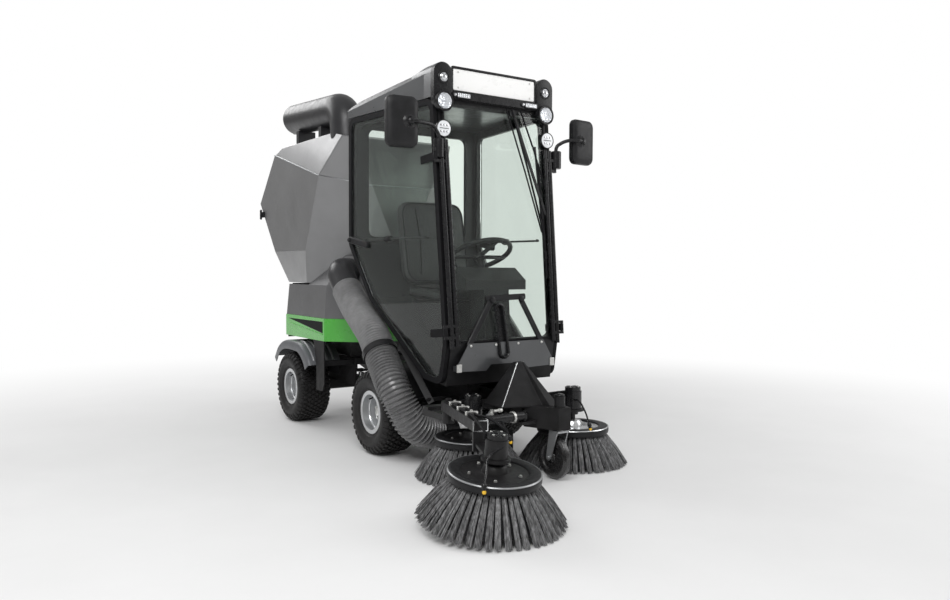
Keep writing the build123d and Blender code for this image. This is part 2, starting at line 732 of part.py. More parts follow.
with BuildPart() as steering_wheel:
    wheel_centre = (0.0, -945.0, 1080.0)
    wheel_up = Vector(0, 0.5, 1.0).normalized()
    hub_plane = Plane(origin=spot(*wheel_centre), x_dir=(1, 0, 0), z_dir=wheel_up)
    with BuildSketch(Plane(origin=spot(*wheel_centre), x_dir=(1, 0, 0),
        z_dir=wheel_up.cross(Vector(1, 0, 0)))):
        with Locations((175.0, 0.0)):
            Circle(13.0)
    revolve(axis=Axis(spot(*wheel_centre), wheel_up))
    extrude(discs(hub_plane, [(0, 0)], 32.0), amount=-24.0)
    with BuildSketch(hub_plane.offset(-16.0)):
        with Locations((0, 0)):
            Rectangle(340.0, 26.0)
        with Locations((0, -84.0)):
            Rectangle(26.0, 170.0)
    extrude(amount=10.0)
    extrude(discs(hub_plane.offset(-95.1), [(0, 0)], 16.0), amount=77.1)
steering_wheel.part.label = "steering_wheel"
export_step(steering_wheel.part, "parts/steering_wheel.step")

# Wiper: arm from the screen's head and a blade down the left pillar
with BuildPart() as wiper:
    with BuildSketch(screen_face.offset(glass + 6.0)):
        with Locations((205.0, 920.0)):
            Rectangle(14.0, 560.0, rotation=19.0)
        with Locations((110.0, 1180.0)):
            Circle(20.0)
    extrude(amount=8.0)
    with BuildSketch(screen_face.offset(glass + 0.3)):
        with Locations((266.0, 760.0)):
            Rectangle(9.0, 520.0, rotation=3.0)
        with Locations((110.0, 1180.0)):
            Circle(14.0)
    extrude(amount=7.0)
wiper.part.label = "wiper"
export_step(wiper.part, "parts/wiper.step")

# Engine: one plain block over the rear frame
with BuildPart() as engine_block:
    block((-185.0, 185.0), (230.0, 680.0), (440.0, 830.0))
engine_block.part.label = "engine_block"
export_step(engine_block.part, "parts/engine_block.step")


def skirt_ring(z, inset, nose_y):
    """Plan outline of the rear bodywork at a height, with chamfered front corners."""
    half = skirt_half - inset
    points = [
        (-half, skirt_rear_y - inset), (-half, 90.0), (-220.0 + inset * 0.4, nose_y + inset),
        (220.0 - inset * 0.4, nose_y + inset), (half, 90.0), (half, skirt_rear_y - inset),
    ]
    return outline(level_plane(z), points)


# Green side panels: a skirt round the rear bodywork
with BuildPart() as side_panels:
    extrude(skirt_ring(skirt_low_z, 0.0, -118.0), amount=skirt_high_z - skirt_low_z)
    extrude(skirt_ring(skirt_low_z, 10.0, -118.0), amount=skirt_high_z - skirt_low_z, mode=Mode.SUBTRACT)
side_panels.part.label = "side_panels"
export_step(side_panels.part, "parts/side_panels.step")


def face_plane(points, side):
    """Plane through three points of the left side, or through their mirror images on the right side."""
    first, second, third = [spot(side * x, y, z) for x, y, z in points]
    return Plane(origin=first, z_dir=(second - first).cross(third - first) * side)


def hopper_volume(inset):
    """The hopper's room: side outline and front view cut into one another, then its leaning facets."""
    side_points = [
        (hopper_front_y, 1100.0), (hopper_front_y, 1530.0), (hopper_front_y + 20.0, 1790.0), (74.0, 1830.0),
        (770.0, 1816.0), (862.0, 1772.0), (1150.0, 1466.0), (690.0, hopper_floor_z), (80.0, hopper_floor_z),
    ]
    front_points = [
        (50.0 - hopper_half, 800.0), (hopper_half - 50.0, 800.0), (hopper_half, 1120.0),
        (hopper_half, 1900.0),
        (-hopper_half, 1900.0), (-hopper_half, 1120.0),
    ]
    front_facet = [
        (hopper_half, *hopper_crease), (hopper_nose_half, hopper_front_y, hopper_crease[1]),
        (hopper_half - 32.0, *hopper_floor_corner),
    ]
    cover_facet = [
        (hopper_half, *seam_front), (hopper_half, *seam_rear),
        (hopper_half - cover_lean[0], seam_front[0], seam_front[1] + cover_lean[1]),
    ]
    views = ((side_plane(-700.0), side_points, 1400.0), (front_plane(1400.0), front_points, 1800.0))
    with BuildPart() as volume:
        for number, (plane, points, depth) in enumerate(views):
            with BuildSketch(plane) as view:
                with BuildLine():
                    Polyline(*points, close=True)
                make_face()
                if inset:
                    offset(amount=-inset, kind=Kind.INTERSECTION, mode=Mode.REPLACE)
            extrude(view.sketch, amount=depth, mode=Mode.INTERSECT if number else Mode.ADD)
        for side in (-1, 1):
            for facet in (front_facet, cover_facet):
                split(bisect_by=face_plane(facet, side).offset(-inset), keep=Keep.BOTTOM)
    return volume.part


# Lower cowling: grey facets between the skirt and the hopper, with a shoulder under its front corners
cowl_half = skirt_half - cowl_high_inset
cowl_corner = (cowl_half, 90.0, cowl_high_z)
cowl_nose = (220.0 - cowl_high_inset * 0.4, cowl_nose_y + cowl_high_inset, cowl_high_z)
shoulder_faces = [
    # Three points of each face on the left side
    [cowl_corner, (cowl_half, 290.0, cowl_high_z), cowl_ridge],
    [cowl_corner, cowl_ridge, cowl_nose],
]
with BuildPart() as shoulder:
    block((-cowl_half, cowl_half), (cowl_nose[1], 388.0), (cowl_high_z, 1110.0))
    for side in (-1, 1):
        for face_points in shoulder_faces:
            split(bisect_by=face_plane(face_points, side), keep=Keep.BOTTOM)
    add(hopper_volume(-moving_gap).moved(Location((0, 0, -10.0))), mode=Mode.SUBTRACT)
    port_back = port - port_out * (port_depth + seat_gap)
    bar(tuple(port_back), tuple(port + port_out * 60.0), hose_radius - 9.0 + seat_gap, mode=Mode.SUBTRACT)
with BuildPart() as lower_cowling:
    rings = [
        [skirt_ring(skirt_high_z, cowl_low_inset + wall, cowl_nose_y).face(),
         skirt_ring(cowl_high_z, cowl_high_inset + wall, cowl_nose_y).face()]
        for wall in (0.0, cowl_wall)
    ]
    loft(rings[0], ruled=True)
    loft(rings[1], ruled=True, mode=Mode.SUBTRACT)
    add(shoulder.part)
    for side in (-1, 1):
        notch_x = sorted((side * (stand_out - 34.0), side * (stand_out + 22.0)))
        block(notch_x, (680.0, 740.0), (skirt_high_z - 1.0, cowl_high_z + 1.0), mode=Mode.SUBTRACT)
lower_cowling.part.label = "lower_cowling"
export_step(lower_cowling.part, "parts/lower_cowling.step")

# Black chassis panels under the skirt, and the rear panel with lamps
with BuildPart() as chassis_panels:
    for side in (-1, 1):
        panel = [(95.0, 300.0), (120.0, 250.0), (215.0, 250.0), (215.0, 420.0), (260.0, 560.0),
            (95.0, 560.0)]
        start_x = 421.0 if side > 0 else -429.0
        extrude(outline(side_plane(start_x), panel), amount=8.0)
        block(sorted((side * rear_half_width, side * 421.0)), (150.0, 190.0), (400.0, 430.0))
    rear_panel = [
        (-190, 440), (190, 440), (190, 545), (410, 545), (410, 702), (-410, 702), (-410, 545), (-190, 545),
    ]
    extrude(outline(front_plane(skirt_rear_y + 14.3), rear_panel), amount=14.0)
chassis_panels.part.label = "chassis_panels"
export_step(chassis_panels.part, "parts/chassis_panels.step")

with BuildPart() as rear_lamps:
    for side in (-1, 1):
        with BuildSketch(front_plane(skirt_rear_y + 14.6)):
            with Locations((side * 320.0, 620.0)):
                RectangleRounded(110.0, 90.0, 12.0)
        extrude(amount=-22.0)
rear_lamps.part.label = "rear_lamps"
export_step(rear_lamps.part, "parts/rear_lamps.step")

# Rear fenders: ribbed mudguards over the rear tyres
with BuildPart() as rear_fenders:
    fender_top = [
        (rear_axle_y - 345.0, 400.0), (rear_axle_y - 250.0, 490.0), (rear_axle_y - 190.0, 530.0),
        (rear_axle_y + 90.0, 530.0), (rear_axle_y + 240.0, 440.0),
    ]
    fender_under = [(y + 3.0 * (y < rear_axle_y) - 2.0, z - 9.0) for y, z in reversed(fender_top)]
    for side in (-1, 1):
        start_x = 250.0 if side > 0 else -474.0
        extrude(outline(side_plane(start_x), fender_top + fender_under), amount=224.0)
        block(
            sorted((side * rear_half_width, side * 260.0)), (rear_axle_y - 170.0, rear_axle_y - 90.0),
            (400.0, 522.0)
        )
        rib_top = [(y - 3.0, z + 6.0) for y, z in fender_top[:3]]
        for rib_x in (300.0, 345.0, 390.0, 435.0):
            rib_start = side * rib_x - 7.0
            rib = rib_top + [(fender_top[2][0] + 40.0, fender_top[2][1] + 6.0),
                             (fender_top[2][0] + 52.0, fender_top[2][1] - 2.0), *fender_under[2:4]]
            extrude(outline(side_plane(rib_start), rib), amount=14.0)
rear_fenders.part.label = "rear_fenders"
export_step(rear_fenders.part, "parts/rear_fenders.step")

# Hopper: a faceted shell, open on its sloping rear face, with a fixed cover over the seam
hopper_outer = hopper_volume(0.0)
hopper_room = hopper_volume(hopper_wall)
seam_normal = (0, seam_front[1] - seam_rear[1], seam_rear[0] - seam_front[0])
seam_plane = Plane(origin=spot(0, *seam_front), x_dir=(1, 0, 0), z_dir=seam_normal)
mouth = [(740.0, 1010.0), (1065.0, 1395.0), (1180.0, 1300.0), (860.0, 900.0)]
slope = Vector(0, 1150.0 - 690.0, 1466.0 - hopper_floor_z).normalized()
slope_out = Vector(0, slope.Z, -slope.Y)


def on_slope(along, out):
    """A point beside the sloping rear face: distance up the slope and distance out of it."""
    place = Vector(0, 690.0, hopper_floor_z) + slope * along + slope_out * out
    return (place.Y, place.Z)


hatch_pin = on_slope(690.0, 22.0)
hatch_pin_radius = 6.0
hatch_arm_x = 240.0
hatch_arm_width = 40.0
with BuildPart() as hopper_shell:
    add(hopper_outer)
    add(hopper_room, mode=Mode.SUBTRACT)
    extrude(outline(side_plane(-370.0), mouth), amount=740.0, mode=Mode.SUBTRACT)
    split(bisect_by=seam_plane, keep=Keep.BOTTOM)
    for side in (-1, 1):
        ear = [(hopper_tip[0] - 34.0, hopper_floor_z + 4.0), (hopper_tip[0] - 18.0, hopper_tip[1] - 16.0),
               (hopper_tip[0] + 18.0, hopper_tip[1] - 16.0), (hopper_tip[0] + 34.0, hopper_floor_z + 20.0)]
        ear_low = stand_out - plate - moving_gap - 10.0
        ear_high = stand_out + moving_gap
        for ear_x in (ear_low, ear_high):
            start_x = side * ear_x if side > 0 else -ear_x - 10.0
            extrude(outline(side_plane(start_x), ear), amount=10.0)
        bar((side * ear_low, *hopper_tip), (side * (ear_high + 10.0), *hopper_tip), tip_pin_radius)
        for lug_x in (hopper_cylinder_x - 28.0, hopper_cylinder_x + 18.0):
            lug = [(lift_eye[0] - 26.0, hopper_floor_z + 3.0), (lift_eye[0] - 12.0, lift_eye[1] - 14.0),
                   (lift_eye[0] + 12.0, lift_eye[1] - 14.0), (lift_eye[0] + 26.0, hopper_floor_z + 3.0)]
            start_x = lug_x if side > 0 else -lug_x - 10.0
            extrude(outline(side_plane(start_x), lug), amount=10.0)
        hatch_lug = [
            on_slope(650, -3), on_slope(704, -3), on_slope(700, 24), on_slope(690, 34), on_slope(676, 30)
        ]
        for lug_x in (hatch_arm_x - 12.0, hatch_arm_x + hatch_arm_width + 2.0):
            start_x = lug_x if side > 0 else -lug_x - 10.0
            extrude(outline(side_plane(start_x), hatch_lug), amount=10.0)
        pin_low_x = side * (hatch_arm_x - 12.0)
        pin_high_x = side * (hatch_arm_x + hatch_arm_width + 12.0)
        bar((pin_low_x, *hatch_pin), (pin_high_x, *hatch_pin), hatch_pin_radius)
hopper_shell.part.label = "hopper_shell"
export_step(hopper_shell.part, "parts/hopper_shell.step")

with BuildPart() as hopper_cover:
    add(hopper_outer)
    add(hopper_room, mode=Mode.SUBTRACT)
    split(bisect_by=seam_plane.offset(seat_gap), keep=Keep.TOP)
hopper_cover.part.label = "hopper_cover"
export_step(hopper_cover.part, "parts/hopper_cover.step")

# Hatch: a plate over the sloping rear face, hung along its upper edge
with BuildPart() as hopper_hatch:
    plate_side = [on_slope(70, 6), on_slope(640, 6), on_slope(640, 14), on_slope(70, 14)]
    extrude(outline(side_plane(-385.0), plate_side), amount=770.0)
    hatch_arm = [on_slope(560, 10), on_slope(682, 12), on_slope(690, 10), on_slope(702, 22),
        on_slope(690, 34),
                 on_slope(672, 30), on_slope(560, 20)]
    for side in (-1, 1):
        start_x = hatch_arm_x if side > 0 else -hatch_arm_x - hatch_arm_width
        extrude(outline(side_plane(start_x), hatch_arm), amount=hatch_arm_width)
        end_x = start_x + hatch_arm_width + 2.0
        bar((start_x - 2.0, *hatch_pin), (end_x, *hatch_pin), hatch_pin_radius + pin_gap,
            mode=Mode.SUBTRACT)
hopper_hatch.part.label = "hopper_hatch"
export_step(hopper_hatch.part, "parts/hopper_hatch.step")

# Roof duct: a smooth tube from an elbow at the hopper's front to an open end over its rear
with BuildPart() as roof_duct:
    with BuildLine() as route:
        FilletPolyline(
            spot(duct_x, 55.0, 1790.0), spot(duct_x, 75.0, 1985.0), spot(duct_x, 860.0, 2035.0),
            radius=112.0
        )
    with BuildSketch(Plane(origin=route.line @ 0, z_dir=route.line % 0)):
        Circle(duct_radius)
        Circle(duct_radius - 5.0, mode=Mode.SUBTRACT)
    sweep(path=route.line)
    for foot_y, foot_top in ((330.0, 1906.0), (700.0, 1929.0)):
        block((duct_x - 60.0, duct_x + 60.0), (foot_y - 20.0, foot_y + 20.0), (1790.0, foot_top))
    add(hopper_volume(-seat_gap), mode=Mode.SUBTRACT)
roof_duct.part.label = "roof_duct"
export_step(roof_duct.part, "parts/roof_duct.step")

# Hose inlet: a fixed elbow out of the cowling's shoulder, over which the hose slips
with BuildPart() as hose_inlet:
    port_start = port - port_out * port_depth
    port_bend = port + port_out * (moving_gap + 62.0)
    with BuildLine() as route:
        FilletPolyline(spot(*port_start), spot(*port_bend), spot(*hose_corners[0]), radius=96.0)
    with BuildSketch(Plane(origin=route.line @ 0, z_dir=route.line % 0)):
        Circle(hose_radius - 9.0)
        Circle(hose_radius - 13.0, mode=Mode.SUBTRACT)
    sweep(path=route.line)
    bracket_plane = Plane(origin=spot(port.X, port.Y, 883.0), x_dir=port_out, z_dir=(0, 0, 1))
    extrude(outline(bracket_plane, [(-15.0, -40.0), (58.0, -40.0), (58.0, 40.0), (-15.0, 40.0)]),
        amount=12.0)
    extrude(outline(bracket_plane, [(28.0, -12.0), (58.0, -12.0), (58.0, 12.0), (28.0, 12.0)]), amount=26.0)
hose_inlet.part.label = "hose_inlet"
export_step(hose_inlet.part, "parts/hose_inlet.step")

# Suction hose: an upper run on the rear half and a lower run on the sweeping unit, joined in a collar
corner_points = [spot(*corner) for corner in hose_corners]
collar_centre = corner_points[2] + (corner_points[3] - corner_points[2]) * collar_share
collar_run = (corner_points[3] - corner_points[2]).normalized()
hose_table = [
    # name, middle line, bend radii
    ("hose_upper", [*corner_points[:3], collar_centre - collar_run * 4.0], [300.0, 300.0]),
    ("hose_lower", [collar_centre + collar_run * 4.0, *corner_points[3:]], [200.0, 170.0]),
]
for name, points, radii in hose_table:
    with BuildPart() as hose:
        with BuildLine() as route:
            FilletPolyline(*points, radius=radii)
        with BuildSketch(Plane(origin=route.line @ 0, z_dir=route.line % 0)):
            Circle(hose_radius)
            Circle(hose_radius - 6.0, mode=Mode.SUBTRACT)
        sweep(path=route.line)
    hose.part.label = name
    export_step(hose.part, f"parts/{name}.step")

with BuildPart() as hose_strut:
    collar_plane = Plane(origin=collar_centre - collar_run * 18.0, z_dir=collar_run)
    extrude(discs(collar_plane, [(0, 0)], hose_radius + 7.0, hose_radius + 2 * seat_gap), amount=36.0)
    strut_top = spot(-364.0, -772.0, 590.0)
    strut_run = spot(-334.0, *strut_stub) - strut_top
    lug_run = collar_centre - strut_top
    strut_across = strut_run.cross(lug_run).normalized()
    strut_plane = Plane(origin=strut_top - strut_across * 4.0, x_dir=strut_run, z_dir=strut_across)
    strut_end = strut_run.length + 22.0
    extrude(outline(strut_plane,
        [(-17.0, -17.0), (strut_end, -17.0), (strut_end, 17.0), (-17.0, 17.0)]), amount=8.0)
    lug_plane = Plane(origin=strut_top - strut_across * 4.0, x_dir=lug_run, z_dir=strut_across)
    lug_end = lug_run.length - hose_radius - 6.5
    extrude(outline(lug_plane, [(0.0, -17.0), (lug_end, -17.0), (lug_end, 17.0), (0.0, 17.0)]), amount=8.0)
    bar((-360.0, *strut_stub), (-300.0, *strut_stub), stub_radius + seat_gap, mode=Mode.SUBTRACT)
    lug_clear = collar_plane.offset(36.0)
    extrude(discs(lug_clear, [(0, 0)], hose_radius + 2.0), amount=60.0, mode=Mode.SUBTRACT)
hose_strut.part.label = "hose_strut"
export_step(hose_strut.part, "parts/hose_strut.step")

# Sweeping unit: lift arms, cross beam, brush brackets, mast beam, castor post and the arm's pivot pin
with BuildPart() as sweeper_frame:
    for side in (-1, 1):
        start_x = 112.0 if side > 0 else -134.0
        arm_side = [
            (lift_pivot[0], lift_pivot[1] + 32.0), (lift_pivot[0], lift_pivot[1] - 32.0),
            (-900.0, beam_low_z),
            (-1140.0, beam_low_z), (-1140.0, beam_high_z), (-900.0, beam_high_z + 8.0),
        ]
        extrude(outline(side_plane(start_x), arm_side), amount=22.0)
        extrude(discs(side_plane(start_x), [lift_pivot], 32.0), amount=22.0)
    block((-455.0, 400.0), (-1185.0, -1135.0), (beam_low_z, beam_high_z))
    for motor_x, motor_y in (brush_b, brush_c):
        block((motor_x - 45.0, motor_x + 45.0), (motor_y, -1185.0), (268.0, 280.0))
        block((motor_x - 45.0, motor_x + 45.0), (-1185.0, -1173.0), (268.0, beam_low_z))
        extrude(discs(level_plane(268.0), [(motor_x, motor_y)], 58.0), amount=12.0)
    block((-60.0, 60.0), (-1430.0, -1185.0), (beam_low_z, beam_high_z))
    post_x, post_y = castor_post
    castor_beam = [(-30.0, -1400.0), (60.0, -1400.0), (post_x + 26.0, post_y), (post_x - 30.0, post_y)]
    extrude(outline(level_plane(beam_low_z + 3.0), castor_beam), amount=42.0)
    bar((post_x, post_y, beam_low_z - 2.0), (post_x, post_y, 404.0), 25.0)
    pivot_x, pivot_y = arm_pivot
    block((pivot_x - 25.0, pivot_x + 25.0), (pivot_y, -1185.0), (beam_low_z, 330.0))
    bar((pivot_x, pivot_y, 290.0), (pivot_x, pivot_y, 343.0), 30.0)
    bar((pivot_x, pivot_y, 343.0), (pivot_x, pivot_y, 404.0), 14.0)
    block((-125.0, -40.0), (arm_cylinder_y - 20.0, -1400.0), (272.0, 286.0))
    block((-125.0, -40.0), (-1414.0, -1400.0), (272.0, beam_high_z))
    bar((arm_base_x, arm_cylinder_y, 272.0), (arm_base_x, arm_cylinder_y, 336.0), cylinder_pin)
    for motor_x, motor_y in (brush_b, brush_c):
        bar((motor_x, motor_y, 260.0), (motor_x, motor_y, 290.0), 30.0, mode=Mode.SUBTRACT)
    bar((post_x, post_y, 290.0), (post_x, post_y, 410.0), 13.0 + pin_gap, mode=Mode.SUBTRACT)
    for side in (-1, 1):
        bar((side * 105.0, *lift_pivot), (side * 140.0, *lift_pivot), lift_pin_radius + 0.1,
            mode=Mode.SUBTRACT)
sweeper_frame.part.label = "sweeper_frame"
export_step(sweeper_frame.part, "parts/sweeper_frame.step")

# Hood: a folded cover over the mast, open at its rear, that runs out over the castor beam
hood_low = [(-184, -1415), (10, -1415), (24, -1520), (76, -1520), (190, -1310), (190, -1262), (-184, -1262)]
hood_high = [(-35, -1335), (-6, -1335), (2, -1338), (10, -1338), (18, -1312), (18, -1300), (-35, -1300)]
with BuildPart() as hood_solid:
    loft([outline(level_plane(350.0), hood_low).face(),
        outline(level_plane(548.0), hood_high).face()], ruled=True)
with BuildPart() as mount_hood:
    add(hood_solid.part)
    add(hood_solid.part.moved(Location((0, 14.0, -7.0))), mode=Mode.SUBTRACT)
    for foot_y in (-1330.0, -1400.0):
        block((-60.0, 60.0), (foot_y, foot_y + 6.0), (345.3, 520.0))
    add(hood_solid.part.moved(Location((0, 0, 600.0))), mode=Mode.SUBTRACT)
mount_hood.part.label = "mount_hood"
export_step(mount_hood.part, "parts/mount_hood.step")

# Brush motors of the rear pair, seated on their brackets
motor_steps = [
    # low z, high z, radius
    (280.2, 372.0, 46.0),
    (372.0, 392.0, 41.0),
    (250.0, 280.2, 29.5),
    (205.0, 250.0, 14.0),
]
with BuildPart() as brush_motors:
    for centre in (brush_b, brush_c):
        for low, high, radius in motor_steps:
            extrude(discs(level_plane(low), [centre], radius), amount=high - low)
brush_motors.part.label = "brush_motors"
export_step(brush_motors.part, "parts/brush_motors.step")

# Suction mouth: a trough open at the ground, with a round inlet for the hose
with BuildPart() as suction_mouth:
    mouth_x, mouth_y, mouth_z = hose_corners[-1]
    trough = [(-235.0, 14.0), (-235.0, 118.0), (235.0, 118.0), (235.0, 14.0)]
    extrude(outline(front_plane(-830.0), trough), amount=120.0)
    spout_run = (corner_points[-1] - corner_points[-2]).normalized()
    spout_plane = Plane(origin=corner_points[-1] + spout_run * seat_gap, z_dir=spout_run)
    extrude(discs(spout_plane, [(0, 0)], hose_radius), amount=100.0)
    trough_room = [(-229.0, 0.0), (-229.0, 112.0), (229.0, 112.0), (229.0, 0.0)]
    extrude(outline(front_plane(-836.0), trough_room), amount=108.0, mode=Mode.SUBTRACT)
    extrude(discs(spout_plane.offset(-10.0), [(0, 0)], hose_radius - 6.0), amount=104.0, mode=Mode.SUBTRACT)
    for side in (-1, 1):
        block(sorted((side * 114.0, side * 132.0)), (-925.0, -895.0), (112.0, beam_low_z - 0.2))
suction_mouth.part.label = "suction_mouth"
export_step(suction_mouth.part, "parts/suction_mouth.step")

# Third brush's arm: hub on the pivot pin, box arm, head bracket and its brush motor
reach = Vector(brush_a[0] - arm_pivot[0], brush_a[1] - arm_pivot[1], 0)
reach_run = reach.normalized()
tilt = radians(brush_tilt)
tilt_up = Vector(0, -sin(tilt), cos(tilt))
brush_a_plane = Plane(origin=spot(*brush_a, brush_radius * sin(tilt)), x_dir=(1, 0, 0), z_dir=tilt_up)
arm_plane = Plane(origin=spot(*arm_pivot, 348.0), x_dir=reach_run, z_dir=(0, 0, 1))
with BuildPart() as third_arm:
    with BuildSketch(arm_plane):
        Circle(34.0)
        with Locations((250.0, 0)):
            Rectangle(500.0, 62.0)
    extrude(amount=44.0)
    with BuildSketch(arm_plane.offset(-20.0)):
        with Locations((arm_swing_lever, 18.0)):
            Rectangle(44.0, 78.0)
    extrude(amount=20.0)
    with BuildSketch(arm_plane.offset(-82.0)):
        with Locations((492.0, 0)):
            Rectangle(16.0, 62.0)
    extrude(amount=82.0)
    with BuildSketch(brush_a_plane.offset(236.0)):
        Circle(58.0)
        with BuildLine():
            Polyline((-40, 0), (40, 0), (86, 185), (24, 185), close=True)
        make_face()
    extrude(amount=12.0)
    for low, high, radius in ((248.0, 322.0, 46.0), (322.0, 340.0, 41.0), (205.0, 236.0, 14.0)):
        extrude(discs(brush_a_plane.offset(low), [(0, 0)], radius), amount=high - low)
    extrude(discs(arm_plane.offset(-10.0), [(0, 0)], 14.0 + pin_gap), amount=80.0, mode=Mode.SUBTRACT)
third_arm.part.label = "third_arm"
export_step(third_arm.part, "parts/third_arm.step")

# Brushes: a dished carrier ring and flared tufts of bristle
tuft_foot = Vector(158.0, 0, ring_z + 4.0)
tuft_tip = Vector(brush_radius - 18.0, 0, 0)
with BuildPart() as tuft:
    tuft_run = tuft_tip - tuft_foot
    with BuildSketch(Plane(origin=tuft_foot, x_dir=(0, 1, 0), z_dir=tuft_run)):
        RegularPolygon(9.0, 6)
    extrude(amount=tuft_run.length + 20.0, taper=-2.2)
    split(bisect_by=Plane.XY, keep=Keep.TOP)
brush_table = [
    # name, plane at its ground circle
    ("a", brush_a_plane),
    ("b", Plane(origin=spot(*brush_b, 0), x_dir=(1, 0, 0), z_dir=(0, 0, 1))),
    ("c", Plane(origin=spot(*brush_c, 0), x_dir=(1, 0, 0), z_dir=(0, 0, 1))),
]
for name, ground in brush_table:
    with BuildPart() as brush:
        with BuildSketch(Plane(origin=ground.origin, x_dir=ground.x_dir, z_dir=-ground.y_dir)):
            with BuildLine():
                Polyline(
                    (14.0 + pin_gap, 232.0), (38.0, 232.0), (46.0, 202.0), (112.0, 200.0),
                    (117.0, ring_z + ring_height), (ring_radius - 8.0, ring_z + ring_height),
                    (ring_radius, ring_z + ring_height - 8.0),
                    (ring_radius, ring_z), (136.0, ring_z), (126.0, 178.0), (60.0, 178.0), (50.0, 188.0),
                    (14.0 + pin_gap, 188.0), close=True,
                )
            make_face()
        revolve(axis=Axis(ground.origin, ground.z_dir))
        with Locations(ground.location):
            with PolarLocations(0, tuft_count):
                add(tuft.part)
    brush.part.label = f"brush_{name}"
    export_step(brush.part, f"parts/brush_{name}.step")

# Castor: a trailing fork with its spindle, and a solid wheel on its axle pin
wheel_y = castor_post[1] + castor_trail
with BuildPart() as castor_fork:
    post_x, post_y = castor_post
    bar((post_x, post_y, 240.0), (post_x, post_y, 401.0), 13.0)
    bar((post_x, post_y, 240.0), (post_x, post_y, beam_low_z - 3.0), 24.0)
    block((post_x - 36.0, post_x + 36.0), (post_y - 30.0, post_y + 34.0), (232.0, 242.0))
    for side in (-1, 1):
        cheek = [(post_y - 26.0, 240.0), (post_y + 34.0, 240.0), (wheel_y + 16.0, castor_radius - 6.0),
                 (wheel_y, castor_radius - 16.0), (wheel_y - 16.0, castor_radius - 6.0)]
        start_x = post_x + 30.0 if side > 0 else post_x - 36.0
        extrude(outline(side_plane(start_x), cheek), amount=6.0)
    bar((post_x - 42.0, wheel_y, castor_radius), (post_x + 42.0, wheel_y, castor_radius), 7.0)
castor_fork.part.label = "castor_fork"
export_step(castor_fork.part, "parts/castor_fork.step")

with BuildPart() as castor_wheel:
    roll = Axis(spot(post_x, wheel_y, castor_radius), (1, 0, 0))
    half = castor_width / 2
    with BuildSketch(Plane(origin=spot(post_x, wheel_y, castor_radius), x_dir=(1, 0, 0), z_dir=(0, -1, 0))):
        with BuildLine():
            Polyline(
                (-half - 3, 7.0 + pin_gap), (half + 3, 7.0 + pin_gap), (half + 3, 20.0), (half - 8, 24.0),
                (half - 8, 62.0), (half, 70.0), (half, castor_radius - 14.0), (half - 12.0, castor_radius),
                (-half + 12.0, castor_radius), (-half, castor_radius - 14.0), (-half, 70.0),
                (-half + 8, 62.0),
                (-half + 8, 24.0), (-half - 3, 20.0), close=True,
            )
        make_face()
    revolve(axis=roll)
castor_wheel.part.label = "castor_wheel"
export_step(castor_wheel.part, "parts/castor_wheel.step")


def barrel(base, eye, pin_axis, length):
    """A cylinder's barrel: eye on its base pin, tube bored for the rod."""
    run = (eye - base).normalized()
    across = Plane(origin=base - pin_axis * 14.0, z_dir=pin_axis)
    extrude(discs(across, [(0, 0)], eye_radius), amount=28.0)
    extrude(discs(Plane(origin=base + run * 12.0, z_dir=run), [(0, 0)], cylinder_radius),
        amount=length - 12.0)
    extrude(discs(across.offset(-20.0), [(0, 0)], cylinder_pin + pin_gap), amount=68.0, mode=Mode.SUBTRACT)
    bore = discs(Plane(origin=base + run * 22.0, z_dir=run), [(0, 0)], rod_radius + pin_gap)
    extrude(bore, amount=length, mode=Mode.SUBTRACT)


def piston_rod(base, eye, pin_axis, start):
    """A cylinder's rod with its end eye."""
    run = (eye - base).normalized()
    reach_length = (eye - base).length - start
    extrude(discs(Plane(origin=base + run * start, z_dir=run), [(0, 0)], rod_radius), amount=reach_length)
    across = Plane(origin=eye - pin_axis * 12.0, z_dir=pin_axis)
    extrude(discs(across, [(0, 0)], eye_radius), amount=24.0)
    extrude(discs(across.offset(-3.0), [(0, 0)], cylinder_pin), amount=30.0)


up = Vector(0, 0, 1)
across_machine = Vector(1, 0, 0)
cylinder_table = [
    # name, base and eye pins, pin axis, barrel length, rod start
    ("steer", [(spot(*steer_base, cylinder_z), spot(*steer_eye, cylinder_z))], up, 240.0, 135.0),
    ("arm", [(spot(arm_base_x, arm_cylinder_y, 312.0), spot(arm_eye_x, arm_cylinder_y, 312.0))], up,
    214.0, 108.0),
    (
        "hopper",
        [(spot(x, *lift_base), spot(x, *lift_eye)) for x in (-hopper_cylinder_x, hopper_cylinder_x)],
        across_machine, 225.0, 45.0,
    ),
]
for name, pairs, pin_axis, barrel_length, rod_start in cylinder_table:
    with BuildPart() as cylinder:
        for base, eye in pairs:
            barrel(base, eye, pin_axis, barrel_length)
    cylinder.part.label = f"{name}_barrel"
    export_step(cylinder.part, f"parts/{name}_barrel.step")
    with BuildPart() as rod:
        for base, eye in pairs:
            piston_rod(base, eye, pin_axis, rod_start)
    rod.part.label = f"{name}_rod"
    export_step(rod.part, f"parts/{name}_rod.step")
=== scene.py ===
import random
from math import cos, pi, radians, sin

import bmesh
import bpy
from mathutils import Matrix, Vector


